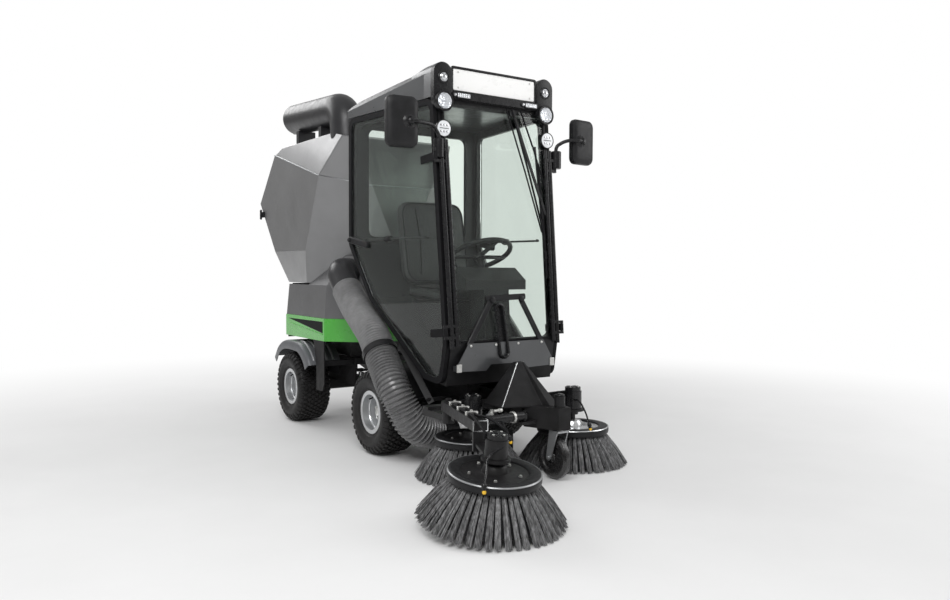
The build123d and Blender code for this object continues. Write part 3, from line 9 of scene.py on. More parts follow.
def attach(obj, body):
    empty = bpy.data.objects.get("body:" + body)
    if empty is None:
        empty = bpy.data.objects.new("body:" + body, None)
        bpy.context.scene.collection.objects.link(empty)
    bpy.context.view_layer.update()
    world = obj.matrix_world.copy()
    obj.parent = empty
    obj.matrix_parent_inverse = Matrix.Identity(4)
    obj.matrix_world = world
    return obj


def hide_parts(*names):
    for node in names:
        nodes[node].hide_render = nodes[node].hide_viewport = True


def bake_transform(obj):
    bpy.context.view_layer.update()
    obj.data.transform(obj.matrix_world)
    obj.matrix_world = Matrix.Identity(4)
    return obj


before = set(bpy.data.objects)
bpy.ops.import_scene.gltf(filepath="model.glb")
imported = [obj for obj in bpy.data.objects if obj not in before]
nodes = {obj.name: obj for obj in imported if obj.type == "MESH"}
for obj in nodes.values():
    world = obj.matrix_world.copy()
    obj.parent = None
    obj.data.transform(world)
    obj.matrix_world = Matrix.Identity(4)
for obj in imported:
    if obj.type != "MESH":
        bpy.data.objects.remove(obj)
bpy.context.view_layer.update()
random.seed(7)

# Places are given in millimetres from the articulation pivot and turned into metres in the model's frame.
# The mesh tools take their sizes in millimetres too; vectors between places are in metres
PIVOT = Vector((0.130, 0.5353, 0))
MM = 0.001
X = Vector((1, 0, 0))
Y = Vector((0, 1, 0))
Z = Vector((0, 0, 1))
FORWARD = Vector((0, -1, 0))


def spot(x, y, z):
    return Vector((x / 1000, y / 1000, z / 1000)) + PIVOT


# Camera at the photograph's place and angle
camera_data = bpy.data.cameras.new("camera")
camera = bpy.data.objects.new("camera", camera_data)
bpy.context.scene.collection.objects.link(camera)
camera_data.sensor_width = 36
camera_data.lens = 30.33
camera_data.clip_end = 100
yaw, pitch, roll = radians(34.3065), radians(-2.2261), radians(0.2210)
ahead = Vector((sin(yaw) * cos(pitch), cos(yaw) * cos(pitch), sin(pitch)))
level_right = Vector((cos(yaw), -sin(yaw), 0))
level_up = level_right.cross(ahead)
right = level_right * cos(roll) + level_up * sin(roll)
upward = level_up * cos(roll) - level_right * sin(roll)
camera.matrix_world = Matrix.Translation(spot(-2418.3, -4459, 1007.6)) @ Matrix((right, upward,
    -ahead)).transposed().to_4x4()
bpy.context.scene.camera = camera


# Materials

def add(tree, kind, values=None, links=None, **settings):
    """A shader node with its settings, input values and incoming links."""
    node = tree.nodes.new(kind)
    for name, value in settings.items():
        setattr(node, name, value)
    for name, value in (values or {}).items():
        node.inputs[name].default_value = value
    for name, socket in (links or {}).items():
        tree.links.new(socket, node.inputs[name])
    return node


def node_material(name):
    material = bpy.data.materials.new(name)
    material.use_nodes = True
    tree = material.node_tree
    tree.nodes.clear()
    shader = add(tree, "ShaderNodeBsdfPrincipled")
    out = add(tree, "ShaderNodeOutputMaterial", links={0: shader.outputs[0]})
    return material, tree, shader, out


def noise(tree, scale, detail=3, rough=0.5, stretch=None):
    at = add(tree, "ShaderNodeTexCoord").outputs["Object"]
    if stretch:
        at = add(tree, "ShaderNodeMapping", {"Scale": stretch}, {0: at}).outputs[0]
    values = {"Scale": scale, "Detail": detail, "Roughness": rough}
    return add(tree, "ShaderNodeTexNoise", values, {"Vector": at}).outputs[0]


def ramp(tree, value, low, high, low_color, high_color):
    node = add(tree, "ShaderNodeValToRGB", links={0: value})
    for element, position, color in zip(node.color_ramp.elements, (low, high), (low_color, high_color)):
        element.position = position
        element.color = (*color, 1)
    return node.outputs[0]


def span(tree, value, low, high):
    values = {"From Min": 0.3, "From Max": 0.7, "To Min": low, "To Max": high}
    return add(tree, "ShaderNodeMapRange", values, {0: value}).outputs[0]


def bump(tree, shader, value, strength, distance):
    node = add(tree, "ShaderNodeBump", {"Strength": strength, "Distance": distance}, {"Height": value})
    tree.links.new(node.outputs[0], shader.inputs["Normal"])


def multiplied(tree, value, factor):
    """A value times a socket or a number."""
    if isinstance(factor, (int, float)):
        return add(tree, "ShaderNodeMath", {1: factor}, {0: value}, operation="MULTIPLY").outputs[0]
    return add(tree, "ShaderNodeMath", links={0: value, 1: factor}, operation="MULTIPLY").outputs[0]


ROUGH_SPREAD = 0.08
DUST_TOP = 0.65
DUST_COLOR = (0.16, 0.135, 0.105, 1)


def finish(name, color, rough, metallic, variation, scale, grain, grain_height, strength, coat=0, dust=0,
    specular=0.5):
    """A surface with mottled colour, uneven roughness, fine grain and road dust near the ground."""
    material, tree, shader, _ = node_material(name)
    dark = tuple(c * (1 - variation) for c in color)
    light = tuple(min(1, c * (1 + variation)) for c in color)
    tone = ramp(tree, noise(tree, scale, 5, 0.6), 0.35, 0.65, dark, light)
    if dust:
        place_in = add(tree, "ShaderNodeTexCoord").outputs["Object"]
        height = add(tree, "ShaderNodeSeparateXYZ", links={0: place_in}).outputs[2]
        low = add(tree, "ShaderNodeMapRange", {"From Min": 0, "From Max": DUST_TOP, "To Min": 1,
            "To Max": 0}, {0: height}).outputs[0]
        amount = multiplied(tree, multiplied(tree, low, noise(tree, 26, 8, 0.7)), dust)
        tone = add(tree, "ShaderNodeMix", {"B": DUST_COLOR}, {"Factor": amount, "A": tone},
            data_type="RGBA").outputs["Result"]
    tree.links.new(tone, shader.inputs["Base Color"])
    tree.links.new(span(tree, noise(tree, scale * 3, 6, 0.65), rough - ROUGH_SPREAD, rough + ROUGH_SPREAD),
        shader.inputs["Roughness"])
    shader.inputs["Metallic"].default_value = metallic
    shader.inputs["Specular IOR Level"].default_value = specular
    if coat:
        shader.inputs["Coat Weight"].default_value = coat
        shader.inputs["Coat Roughness"].default_value = 0.12
    bump(tree, shader, noise(tree, grain, 2, 0.5), strength, grain_height)
    return material


# Colour, roughness, metallic, variation, patch scale, grain scale, grain height, grain strength
black_coat = finish("black_coat", (0.012, 0.012, 0.013), 0.4, 0, 0.3, 14, 420, 0.0003, 0.3, dust=0.05,
    specular=0.26)
frame_black = finish("frame_black", (0.013, 0.013, 0.014), 0.5, 0, 0.35, 10, 260, 0.0004, 0.3, dust=0.06,
    specular=0.2)
roof_grey = finish("roof_grey", (0.085, 0.088, 0.092), 0.34, 0.55, 0.06, 5, 900, 0.0001, 0.12, coat=0.5)
pod_black = finish("pod_black", (0.01, 0.01, 0.011), 0.26, 0, 0.2, 12, 700, 0.0001, 0.1, specular=0.35)
silver_grey = finish("silver_grey", (0.225, 0.226, 0.23), 0.36, 0.55, 0.05, 3, 1100, 0.0001, 0.12,
    coat=0.35)
cowl_grey = finish("cowl_grey", (0.155, 0.156, 0.16), 0.38, 0.5, 0.06, 4, 1100, 0.0001, 0.12, coat=0.3)
green = finish("green_paint", (0.055, 0.42, 0.028), 0.3, 0, 0.05, 5, 600, 0.0001, 0.12, coat=0.6, dust=0.12)
rim_silver = finish("rim_silver", (0.62, 0.63, 0.64), 0.36, 0.9, 0.06, 22, 500, 0.0001, 0.04, dust=0.04)
rubber = finish("tyre_rubber", (0.012, 0.012, 0.013), 0.5, 0, 0.3, 30, 260, 0.0006, 0.4, dust=0.08,
    specular=0.28)
castor_rubber = finish("castor_rubber", (0.012, 0.012, 0.013), 0.28, 0, 0.3, 40, 300, 0.0003, 0.2, coat=0.4,
    dust=0.05)
plastic = finish("dark_plastic", (0.013, 0.013, 0.014), 0.42, 0, 0.2, 18, 900, 0.0004, 0.35, specular=0.26)
fender_grey = finish("fender_grey", (0.125, 0.13, 0.14), 0.38, 0.15, 0.08, 8, 700, 0.0002, 0.2, dust=0.05)
# Lighter copy of the fender grey for the fender's ribs: painted highlight
rib_highlight_grey = finish("rib_highlight_grey", (0.27, 0.275, 0.285), 0.36, 0.3, 0.08, 8, 700, 0.0002, 0.2, dust=0.03)
hose_fine = finish("hose_fine", (0.24, 0.24, 0.243), 0.38, 0, 0.12, 24, 500, 0.0002, 0.2, coat=0.25)
hose_coarse = finish("hose_coarse", (0.15, 0.15, 0.152), 0.3, 0, 0.15, 24, 500, 0.0002, 0.2, coat=0.4)
duct_grey = finish("duct_grey", (0.022, 0.022, 0.024), 0.36, 0.1, 0.15, 8, 500, 0.0002, 0.15)
steel = finish("steel", (0.55, 0.55, 0.56), 0.28, 1, 0.1, 40, 800, 0.0001, 0.15)
zinc = finish("zinc", (0.62, 0.62, 0.6), 0.35, 1, 0.12, 60, 500, 0.0002, 0.2)
# Castor post's grey, also the painted highlight strips on the hopper seam and brush carriers
post_grey_and_highlight = finish("post_grey_and_highlight", (0.4, 0.41, 0.42), 0.35, 0.7, 0.1, 20, 500, 0.0002, 0.2, dust=0.2)
white = finish("plate_white", (0.9, 0.9, 0.89), 0.3, 0, 0.008, 6, 500, 0.0001, 0.05, coat=0.3)
cast = finish("engine_cast", (0.06, 0.06, 0.062), 0.6, 0.3, 0.3, 12, 120, 0.001, 0.4)
leather = finish("seat_cover", (0.022, 0.022, 0.023), 0.52, 0, 0.2, 20, 380, 0.0008, 0.5)
red_lens = finish("red_lens", (0.42, 0.015, 0.01), 0.12, 0, 0.1, 60, 300, 0.0004, 0.3, coat=0.8)
yellow = finish("nozzle_yellow", (0.8, 0.47, 0.02), 0.4, 0, 0.1, 60, 500, 0.0001, 0.1)
gasket = finish("gasket", (0.007, 0.007, 0.008), 0.6, 0, 0.2, 40, 500, 0.0003, 0.3, specular=0.15)
white_lens = finish("white_lens", (0.78, 0.8, 0.82), 0.16, 0, 0.05, 60, 240, 0.0006, 0.5, coat=0.8)
reflector = finish("reflector", (0.66, 0.67, 0.69), 0.12, 1, 0.06, 60, 140, 0.0015, 0.7)
# Bright metal for the left brush's plate, and painted highlight on the edge strips and the rims' rings
bright_metal_and_highlight = finish("bright_metal_and_highlight", (0.72, 0.73, 0.74), 0.22, 0.9, 0.06, 30, 500, 0.0001, 0.15)


def bristle_material():
    material, tree, shader, _ = node_material("bristle")
    strands = noise(tree, 95, 3, 0.6, stretch=(1, 1, 0.12))
    tone = ramp(tree, strands, 0.34, 0.68, (0.045, 0.045, 0.046), (0.26, 0.26, 0.265))
    tree.links.new(tone, shader.inputs["Base Color"])
    tree.links.new(span(tree, noise(tree, 40), 0.38, 0.6), shader.inputs["Roughness"])
    shader.inputs["Specular IOR Level"].default_value = 0.45
    bump(tree, shader, noise(tree, 260, 2, 0.5, stretch=(1, 1, 0.1)), 0.3, 0.0006)
    return material


def glass_material(name, color):
    material, tree, shader, _ = node_material(name)
    dark = tuple(c * 0.97 for c in color)
    tree.links.new(ramp(tree, noise(tree, 2.5, 4, 0.6), 0.3, 0.7, dark, color), shader.inputs["Base Color"])
    shader.inputs["Transmission Weight"].default_value = 1
    shader.inputs["IOR"].default_value = 1.3
    tree.links.new(span(tree, noise(tree, 5, 5, 0.7), 0, 0.015), shader.inputs["Roughness"])
    return material


bristle = bristle_material()
side_glass = glass_material("side_glass", (0.76, 0.81, 0.78))
screen_glass = glass_material("screen_glass", (0.90, 0.95, 0.91))
lens_glass = glass_material("lens_glass", (0.95, 0.96, 0.97))


# Mesh tools: each returns corner points and faces, which are gathered into one piece

def gather(*groups):
    points, faces = [], []
    for group_points, group_faces in groups:
        base = len(points)
        points.extend(group_points)
        faces.extend([tuple(base + i for i in face) for face in group_faces])
    return points, faces


def ease(thing, width, segments=2, angle=30):
    """Rounded hard edges."""
    cut = thing.modifiers.new("bevel", "BEVEL")
    cut.width = width * MM
    cut.segments = segments
    cut.limit_method = "ANGLE"
    cut.angle_limit = radians(angle)
    thing.modifiers.new("even", "WEIGHTED_NORMAL").keep_sharp = True


def piece(name, body, material, *groups, bevel=0, angle=32, slot=None):
    points, faces = gather(*groups)
    mesh = bpy.data.meshes.new(name)
    mesh.from_pydata([tuple(p) for p in points], [], faces)
    shape = bmesh.new()
    shape.from_mesh(mesh)
    bmesh.ops.recalc_face_normals(shape, faces=shape.faces)
    for edge in shape.edges:
        if len(edge.link_faces) == 2:
            edge.smooth = edge.calc_face_angle(0) < radians(angle)
    for face in shape.faces:
        face.smooth = True
    shape.to_mesh(mesh)
    shape.free()
    mesh.materials.append(material)
    thing = bpy.data.objects.new(name, mesh)
    bpy.context.scene.collection.objects.link(thing)
    if bevel:
        ease(thing, bevel)
    if body:
        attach(thing, body)
    return thing


def axes_for(direction, hint=Z):
    along = direction.normalized()
    if abs(along.dot(hint)) > 0.98:
        hint = X
    across = hint.cross(along).normalized()
    return along, across, along.cross(across)


def turns(count, shift=0):
    """Angles an even step apart."""
    return [2 * pi * step / count + shift for step in range(count)]


def hoop(middle, across, third, radius, count):
    return [middle + (across * cos(turn) + third * sin(turn)) * (radius * MM) for turn in turns(count)]


def skin(rings, closed=False, capped=True):
    """A surface over rings of points: joined in a loop, or with flat ends."""
    count = len(rings[0])
    faces = []
    for ring in range(len(rings) if closed else len(rings) - 1):
        low, high = ring * count, (ring + 1) % len(rings) * count
        for step in range(count):
            after = (step + 1) % count
            faces.append((low + step, low + after, high + after, high + step))
    if capped and not closed:
        faces.append(tuple(range(count)))
        faces.append(tuple((len(rings) - 1) * count + step for step in range(count)))
    return [point for ring in rings for point in ring], faces


def lathe(origin, direction, profile, count=48, closed=False):
    """Rings about an axis; the profile holds (distance along, radius)."""
    along, across, third = axes_for(direction)
    return skin([hoop(origin + along * (distance * MM), across, third, radius, count) for distance,
        radius in profile], closed)


def prism(corners, push):
    """A flat outline pushed along a vector."""
    count = len(corners)
    points = list(corners) + [c + push for c in corners]
    faces = [tuple(range(count)), tuple(range(2 * count - 1, count - 1, -1))]
    faces += [(i, (i + 1) % count, count + (i + 1) % count, count + i) for i in range(count)]
    return points, faces


def block(low, high):
    corners = [spot(x, y, low[2]) for x, y in ((low[0], low[1]), (high[0], low[1]), (high[0], high[1]),
        (low[0], high[1]))]
    return prism(corners, Z * (high[2] - low[2]) * MM)


def bar(start, end, radius, count=16):
    run = end - start
    return lathe(start, run, [(0, radius), (run.length / MM, radius)], count)


def bolt(place_at, direction, size, height):
    washer = lathe(place_at, direction, [(0, size * 1.25), (height * 0.25, size * 1.25)], 14)
    head = lathe(place_at + direction.normalized() * (height * 0.25 * MM), direction,
        [(0, size), (height * 0.6, size), (height * 0.75, size * 0.8)], 6)
    return gather(washer, head)


def smooth_route(points, steps=8):
    """Points along a smooth line that passes through the given ones."""
    line = []
    padded = [points[0] * 2 - points[1]] + list(points) + [points[-1] * 2 - points[-2]]
    for i in range(1, len(padded) - 2):
        p0, p1, p2, p3 = padded[i - 1:i + 3]
        for s in range(steps):
            t = s / steps
            line.append(0.5 * (2 * p1 + (p2 - p0) * t + (2 * p0 - 5 * p1 + 4 * p2 - p3) * t * t
                + (3 * p1 - p0 - 3 * p2 + p3) * t ** 3))
    line.append(points[-1])
    return line


def frames_along(line):
    """The two directions across the line at each of its points."""
    across = None
    result = []
    for i in range(len(line)):
        tangent = (line[min(len(line) - 1, i + 1)] - line[max(0, i - 1)]).normalized()
        if across is None:
            across = axes_for(tangent)[1]
        across = (across - tangent * across.dot(tangent)).normalized()
        result.append((across, tangent.cross(across)))
    return result


def straight_tube(points, radius, count=12):
    """A tube along straight runs with mitred corners."""
    return skin([hoop(at, *sides, radius, count) for at, sides in zip(points, frames_along(points))])


def pipe(points, radius, count=10, steps=8):
    return straight_tube(smooth_route(points, steps), radius, count)


def even_line(line, pitch):
    """The same line with places an even distance apart."""
    lengths = [0]
    for a, b in zip(line, line[1:]):
        lengths.append(lengths[-1] + (b - a).length)
    count = max(2, round(lengths[-1] / pitch))
    result, j = [], 0
    for i in range(count + 1):
        goal = lengths[-1] * i / count
        while j < len(lengths) - 2 and lengths[j + 1] < goal:
            j += 1
        share = (goal - lengths[j]) / max(1e-9, lengths[j + 1] - lengths[j])
        result.append(line[j].lerp(line[j + 1], share))
    return result


def polyline_with_bends(corners, radii):
    """Straight runs joined by round bends."""
    line = [corners[0]]
    for before, corner, after, radius in zip(corners, corners[1:], corners[2:], radii):
        back, forth = (before - corner).normalized(), (after - corner).normalized()
        half_angle = back.angle(forth) / 2
        reach = radius * cos(half_angle) / sin(half_angle)
        middle = corner + (back + forth).normalized() * (radius / sin(half_angle))
        a, b = corner + back * reach - middle, corner + forth * reach - middle
        axis = a.cross(b).normalized()
        line += [middle + Matrix.Rotation(a.angle(b) * s / 12, 3, axis) @ a for s in range(13)]
    line.append(corners[-1])
    return line


def ribbed_hose(line, pitch, low, high, count=56):
    """A corrugated tube: rounded ridges at an even pitch."""
    marks = even_line(line, pitch * MM)
    shoulder = high - (high - low) * 0.25
    steps = [(0, low), (0.18, low), (0.32, shoulder), (0.5, high), (0.68, shoulder), (0.82, low)]
    path, radii = [], []
    for a, b in zip(marks, marks[1:]):
        for share, radius in steps:
            path.append(a.lerp(b, share))
            radii.append(radius)
    path.append(marks[-1])
    radii.append(low)
    rings = [hoop(at, *sides, radius, count) for at, radius, sides in zip(path, radii, frames_along(path))]
    return skin(rings, capped=False)


def rounded(width, height, corner, steps=6):
    """Corner points of a rounded rectangle about the origin, as pairs."""
    corner = min(corner, width / 2 - 0.01, height / 2 - 0.01)
    pairs = []
    for quarter, (sx, sy) in enumerate(((1, 1), (-1, 1), (-1, -1), (1, -1))):
        for step in range(steps + 1):
            turn = pi / 2 * (quarter + step / steps)
            pairs.append((sx * (width / 2 - corner) + cos(turn) * corner,
                sy * (height / 2 - corner) + sin(turn) * corner))
    return pairs


def stacked(origin, across, rise, out, layers, corner_steps=6, closed=False):
    """Rounded rectangles stacked along a direction; a layer holds (distance out, width, height, corner)."""
    return skin([[origin + (across * u + rise * v + out * distance) * MM for u,
        v in rounded(width, height, corner, corner_steps)] for distance, width, height, corner in layers],
        closed)


def ring_frame(origin, across, rise, out, sizes, corner_steps=6):
    """A closed rim: the layers are joined in a loop."""
    return stacked(origin, across, rise, out, sizes, corner_steps, closed=True)


def dress(name, material, bevel=0, segments=2, angle=30):
    """A CAD node's finish, with its hard edges eased where asked."""
    thing = nodes[name]
    if not thing.material_slots:
        thing.data.materials.append(material)
    for entry in thing.material_slots:
        entry.link = "OBJECT"
        entry.material = material
    if bevel:
        thing.modifiers.new("weld", "WELD").merge_threshold = 0.00002
        ease(thing, bevel, segments, angle)


# Finishes of the frame's own nodes: names, finish, edge width, edge steps, edge angle
for names, *how in (
    ("front_frame rear_frame", frame_black, 1.2),
    ("front_axle rear_axle", frame_black),
    ("chassis_panels", frame_black, 2),
    ("cab_frame third_arm", black_coat, 3),
    ("front_fenders sweeper_frame", black_coat, 1.5),
    ("hose_strut steer_barrel hopper_barrel", black_coat, 1),
    ("cab_roof", roof_grey, 9, 3),
    ("front_apron", roof_grey, 1.5),
    ("door_right door_left", gasket, 3),
    ("door_glass_right door_glass_left", side_glass),
    ("windscreen rear_window", screen_glass),
    ("sign_board", pod_black, 1.5),
    ("brush_motors", pod_black, 2),
    ("arm_barrel", pod_black, 1),
    ("seat_base", plastic, 4),
    ("dash", plastic, 8, 3),
    ("steering_wheel", plastic, 1.5),
    ("wiper", plastic, 1),
    ("suction_mouth", plastic, 2),
    ("engine_block", cast, 6),
    ("side_panels", green, 3),
    ("lower_cowling", cowl_grey, 3),
    ("rear_lamps", red_lens, 3),
    ("hopper_shell hopper_cover", silver_grey, 6, 3, 12),
    ("hopper_hatch", silver_grey, 2),
    ("roof_duct hose_inlet", duct_grey),
    ("castor_fork", post_grey_and_highlight, 1),
    ("castor_wheel", castor_rubber, 2),
    ("steer_rod arm_rod hopper_rod", steel, 0.5),
    ("rim_front_right rim_front_left rim_rear_right rim_rear_left", rim_silver, 1.2),
):
    for name in names.split():
        dress(name, *how)

wheel_places = {
    # place: side, axle y
    "front_right": (-1, -577),
    "front_left": (1, -577),
    "rear_right": (-1, 577),
    "rear_left": (1, 577),
}


def wheel_centre(side, axle_y):
    return spot(side * 366.5, axle_y, 228.5)


# Tyres: carcass with bead and sidewall steps, and a block tread
# Half of the carcass: distance across, radius
TYRE_SIDE = [
    (80, 101.5), (83.4, 119), (88, 123.5), (90.5, 129), (96.5, 133), (100, 145), (104.5, 156), (106.3, 168),
    (105.6, 183), (103, 188), (100.5, 199), (93, 209.5), (82, 214), (55, 217.2), (20, 218.4),
]
# Tread rows: distance across, half width, top radius, turn share
TREAD_ROWS = [(0, 0.0105, 0.2282, 0), (0.0245, 0.0105, 0.2279, 0.5), (-0.0245, 0.0105, 0.2279, 0.5),
    (0.048, 0.0105, 0.227, 0), (-0.048, 0.0105, 0.227, 0), (0.072, 0.011, 0.2248, 0.5),
    (-0.072, 0.011, 0.2248, 0.5)]
TREAD_COUNT, TREAD_HALF_LONG = 44, 0.0105
SHOULDER_COUNT, SHOULDER_HALF_LONG = 36, 0.0085
OCTAGON = ((-1, -0.55), (-0.45, -1), (0.45, -1), (1, -0.55), (1, 0.55), (0.45, 1), (-0.45, 1), (-1, 0.55))


def spoke(turn):
    """A direction across a wheel's axle."""
    return Vector((0, cos(turn), sin(turn)))


def tread_block(centre, turn, across, half_wide, top):
    out, run = spoke(turn), spoke(turn + pi / 2)
    corners = []
    for reach, grow in ((top - 0.013, 1.14), (top, 0.88)):
        for u, v in OCTAGON:
            ahead_by = v * TREAD_HALF_LONG * grow
            offset = X * (across + u * half_wide * grow) + run * ahead_by
            corners.append(centre + out * (reach - ahead_by ** 2 / (2 * top)) + offset)
    return corners, [tuple(range(8, 16))] + [(i, (i + 1) % 8, 8 + (i + 1) % 8, 8 + i) for i in range(8)]


def shoulder_block(centre, turn, side):
    out, run = spoke(turn), spoke(turn + pi / 2)
    corners = []
    for grow, proud in ((1.15, 0), (0.85, 0.0062)):
        for across, reach in ((0.085, 0.2155), (0.0935, 0.2095), (0.1, 0.1985), (0.1022, 0.188)):
            slope = X * (0.55 * side) + out * 0.83 if across < 0.095 else X * (0.93 * side) + out * 0.36
            base = centre + X * (side * across) + out * reach
            lift = slope.normalized() * min(proud, 0.1084 - across)
            for way in (-1, 1):
                corners.append(base + lift + run * (way * SHOULDER_HALF_LONG * grow))
    faces = []
    for i in range(0, 6, 2):
        faces += [(8 + i, 9 + i, 11 + i, 10 + i), (i, 2 + i, 10 + i, 8 + i), (1 + i, 9 + i, 11 + i, 3 + i)]
    return corners, faces + [(0, 1, 9, 8), (6, 14, 15, 7)]


for wheel, (side, axle_y) in wheel_places.items():
    centre, outward, body = wheel_centre(side, axle_y), X * side, "wheel_" + wheel
    profile = [(-across, radius) for across, radius in TYRE_SIDE] + TYRE_SIDE[::-1]
    lugs = [tread_block(centre, turn, across, half_wide, top) for across, half_wide, top,
        share in TREAD_ROWS for turn in turns(TREAD_COUNT, 2 * pi * share / TREAD_COUNT)]
    lugs += [shoulder_block(centre, turn, edge) for edge in (-1, 1) for turn in turns(SHOULDER_COUNT,
        2 * pi * 0.25 * edge / SHOULDER_COUNT)]
    tyre = piece("tread_tyre_" + wheel, body, rubber, lathe(centre, outward, profile, 84, closed=True),
        *lugs, slot="tyre")
    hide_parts("tyre_" + wheel)
    studs = [bolt(centre + outward * 0.0262 + spoke(turn) * 0.046, outward, 7.5, 10) for turn in turns(5,
        0.3)]
    cap = lathe(centre + outward * 0.034, outward, [(0, 26), (8, 26), (13, 22), (15, 10)], 28)
    piece("rim_studs_" + wheel, body, zinc, cap, *studs, slot="rim_silver")
    arm = spoke(0.9)
    stem = bar(centre + outward * 0.045 + arm * 0.088, centre + outward * 0.068 + arm * 0.08, 4.2, 10)
    piece("tyre_valve_" + wheel, body, plastic, stem, slot="tyre")


# Suction hose: a fine upper run and a coarse lower run
hose_points = [
    spot(-396, -160, 888), spot(-404, -290, 790), spot(-440, -585, 655), spot(-475, -880, 395),
    spot(-400, -935, 200), spot(-240, -905, 150),
]
collar = hose_points[2].lerp(hose_points[3], 0.373)
collar_run = (hose_points[3] - hose_points[2]).normalized()
upper_line = polyline_with_bends([*hose_points[:3], collar - collar_run * 0.004], [0.3, 0.3])
lower_line = polyline_with_bends([collar + collar_run * 0.004, *hose_points[3:]], [0.2, 0.17])
upper_hose = piece("hose_upper_ribbed", None, hose_fine, ribbed_hose(upper_line, 16.5, 76, 87.5),
    slot="hose")
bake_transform(upper_hose)
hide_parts("hose_upper")
lower_hose = piece("hose_lower_ribbed", None, hose_coarse, ribbed_hose(lower_line, 19, 75.5, 89),
    slot="hose")
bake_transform(lower_hose)
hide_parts("hose_lower")


# Brushes: carrier ring, dished plate and bundles of flared bristles
TUFTS, STRANDS = 48, 34
LOWEST_BRISTLE = 0.0028


def brush_piece(name, body, centre, up, plate_material, reach_out):
    _, across, third = axes_for(up, Y)
    ring = lathe(centre, up, [
        (160, 138), (158, 150), (158, 176), (161, 184), (168, 187), (184, 187), (191, 184.5), (195.5, 178),
        (197, 170), (197, 143), (194, 137), (188, 134), (180, 134), (170, 137),
    ], 72, closed=True)
    piece(name + "_ring", body, plastic, ring, slot="bristle")
    dish = lathe(centre, up, [(176, 15), (176, 50), (178, 62), (181, 112), (186, 136), (188.5, 134),
        (186, 110), (186, 64), (190, 52), (214, 46), (220, 40), (222, 15)], 64, closed=True)
    piece(name + "_dish", body, plate_material, dish, slot="bristle")
    bolts = [bolt(centre + (across * cos(turn) + third * sin(turn)) * 0.104 + up * 0.1855, up, 6,
        8) for turn in turns(5, 0.35)]
    piece(name + "_bolts", body, zinc, *bolts, slot="steel")
    strands = []
    for tuft in range(TUFTS):
        turn = 2 * pi * (tuft + random.uniform(-0.06, 0.06)) / TUFTS
        lean = random.uniform(-0.03, 0.03)
        for strand in range(STRANDS):
            spread = random.random() ** 0.5 * 0.0076
            around = random.uniform(0, 2 * pi)
            foot_turn = turn + cos(around) * spread / 0.158
            foot_reach = 0.156 + sin(around) * spread
            tip_turn = turn + cos(around) * spread * 1.45 / 0.26 + lean * 0.25 + random.uniform(-0.008,
                0.008)
            tip_reach = reach_out + sin(around) * spread * 1.6 + random.uniform(-0.005, 0.004)
            rings = []
            for share, width in ((0, 0.002), (0.55, 0.002), (1, 0.0016)):
                angle = foot_turn + (tip_turn - foot_turn) * share
                reach = foot_reach + (tip_reach - foot_reach) * share + sin(share * pi) * 0.006
                arm = across * cos(angle) + third * sin(angle)
                side_arm = third * cos(angle) - across * sin(angle)
                middle = centre + arm * reach + up * (0.166 - 0.162 * share)
                middle.z = max(middle.z, LOWEST_BRISTLE)
                rings.append([middle + (side_arm * cos(phase) + arm * sin(phase)) * width
                              for phase in turns(3, strand)])
            points, faces = skin(rings, capped=False)
            strands.append((points, faces + [(6, 7, 8)]))
    tufts = piece(name + "_bristles", body, bristle, *strands, slot="bristle")
    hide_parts(name)


tilt = radians(7)
lean_up = Vector((0, -sin(tilt), cos(tilt)))
brush_places = [
    # node, body, centre at the ground, up, plate finish, reach of the tips
    ("brush_a", "front_brush", spot(-620, -1940, 290 * sin(tilt)), lean_up, black_coat, 0.287),
    ("brush_b", "right_brush", spot(-240, -1250, 0), Z, black_coat, 0.272),
    ("brush_c", "left_brush", spot(360, -1300, 0), Z, bright_metal_and_highlight, 0.272),
]
for place in brush_places:
    brush_piece(*place)


# Brush motors: finned caps, ports and bolts over the plain motors
MOTOR_RADIUS = 41


def motor_dress(name, body, centre, up, top):
    _, across, third = axes_for(up, Y)

    def motor_spot(turn, height, reach):
        return centre + up * (top + height * MM) + (across * cos(turn) + third * sin(turn)) * (reach * MM)

    ridges = [bar(motor_spot(turn, 0, MOTOR_RADIUS * 0.3), motor_spot(turn, 0, MOTOR_RADIUS * 0.86), 4.5,
        8) for turn in turns(8)]
    crown = lathe(centre + up * (top - 0.004), up, [(0, MOTOR_RADIUS * 0.98), (4, MOTOR_RADIUS * 0.9), (8,
        MOTOR_RADIUS * 0.32), (10, MOTOR_RADIUS * 0.2)], 32)
    band = lathe(centre + up * (top - 0.052), up, [(0, 41.5), (2, 46), (9, 46), (11, 41.5)], 36)
    piece(name + "_cap", body, pod_black, crown, band, *ridges, slot="black_coat")
    ports = []
    for turn in (0.6, 1.5):
        arm = across * cos(turn) + third * sin(turn)
        base = motor_spot(turn, -30, MOTOR_RADIUS - 4)
        ports.append(lathe(base, arm, [(0, 11), (10, 11), (10.5, 8.5), (22, 8.5)], 12))
        ports.append(lathe(base + arm * 0.01, arm, [(0, 12.5), (8, 12.5)], 6))
    piece(name + "_ports", body, zinc, *ports, slot="steel")
    bolts = [bolt(motor_spot(turn, -1, MOTOR_RADIUS * 0.72), up, 5.5, 7) for turn in turns(4, 0.4)]
    piece(name + "_bolts", body, zinc, *bolts, slot="steel")


motor_dress("motor_b", "sweeping_unit", brush_places[1][2], Z, 0.391)
motor_dress("motor_c", "sweeping_unit", brush_places[2][2], Z, 0.391)
motor_dress("motor_a", "swing_arm", brush_places[0][2], lean_up, 0.339)


def cab_half(y):
    return 325 + (y + 1190) / 890 * 99


def screen_y(z):
    return -1190 + (z - 640) / 1210 * 115


SCREEN_UP = Vector((0, 115, 1210)).normalized()
SCREEN_OUT = Vector((0, -1210, 115)).normalized()


def on_screen(x, z, out=6):
    """A point over the windscreen: place across, height and distance out of it, in millimetres."""
    return spot(x, screen_y(z), z) + SCREEN_OUT * (out / 1000)


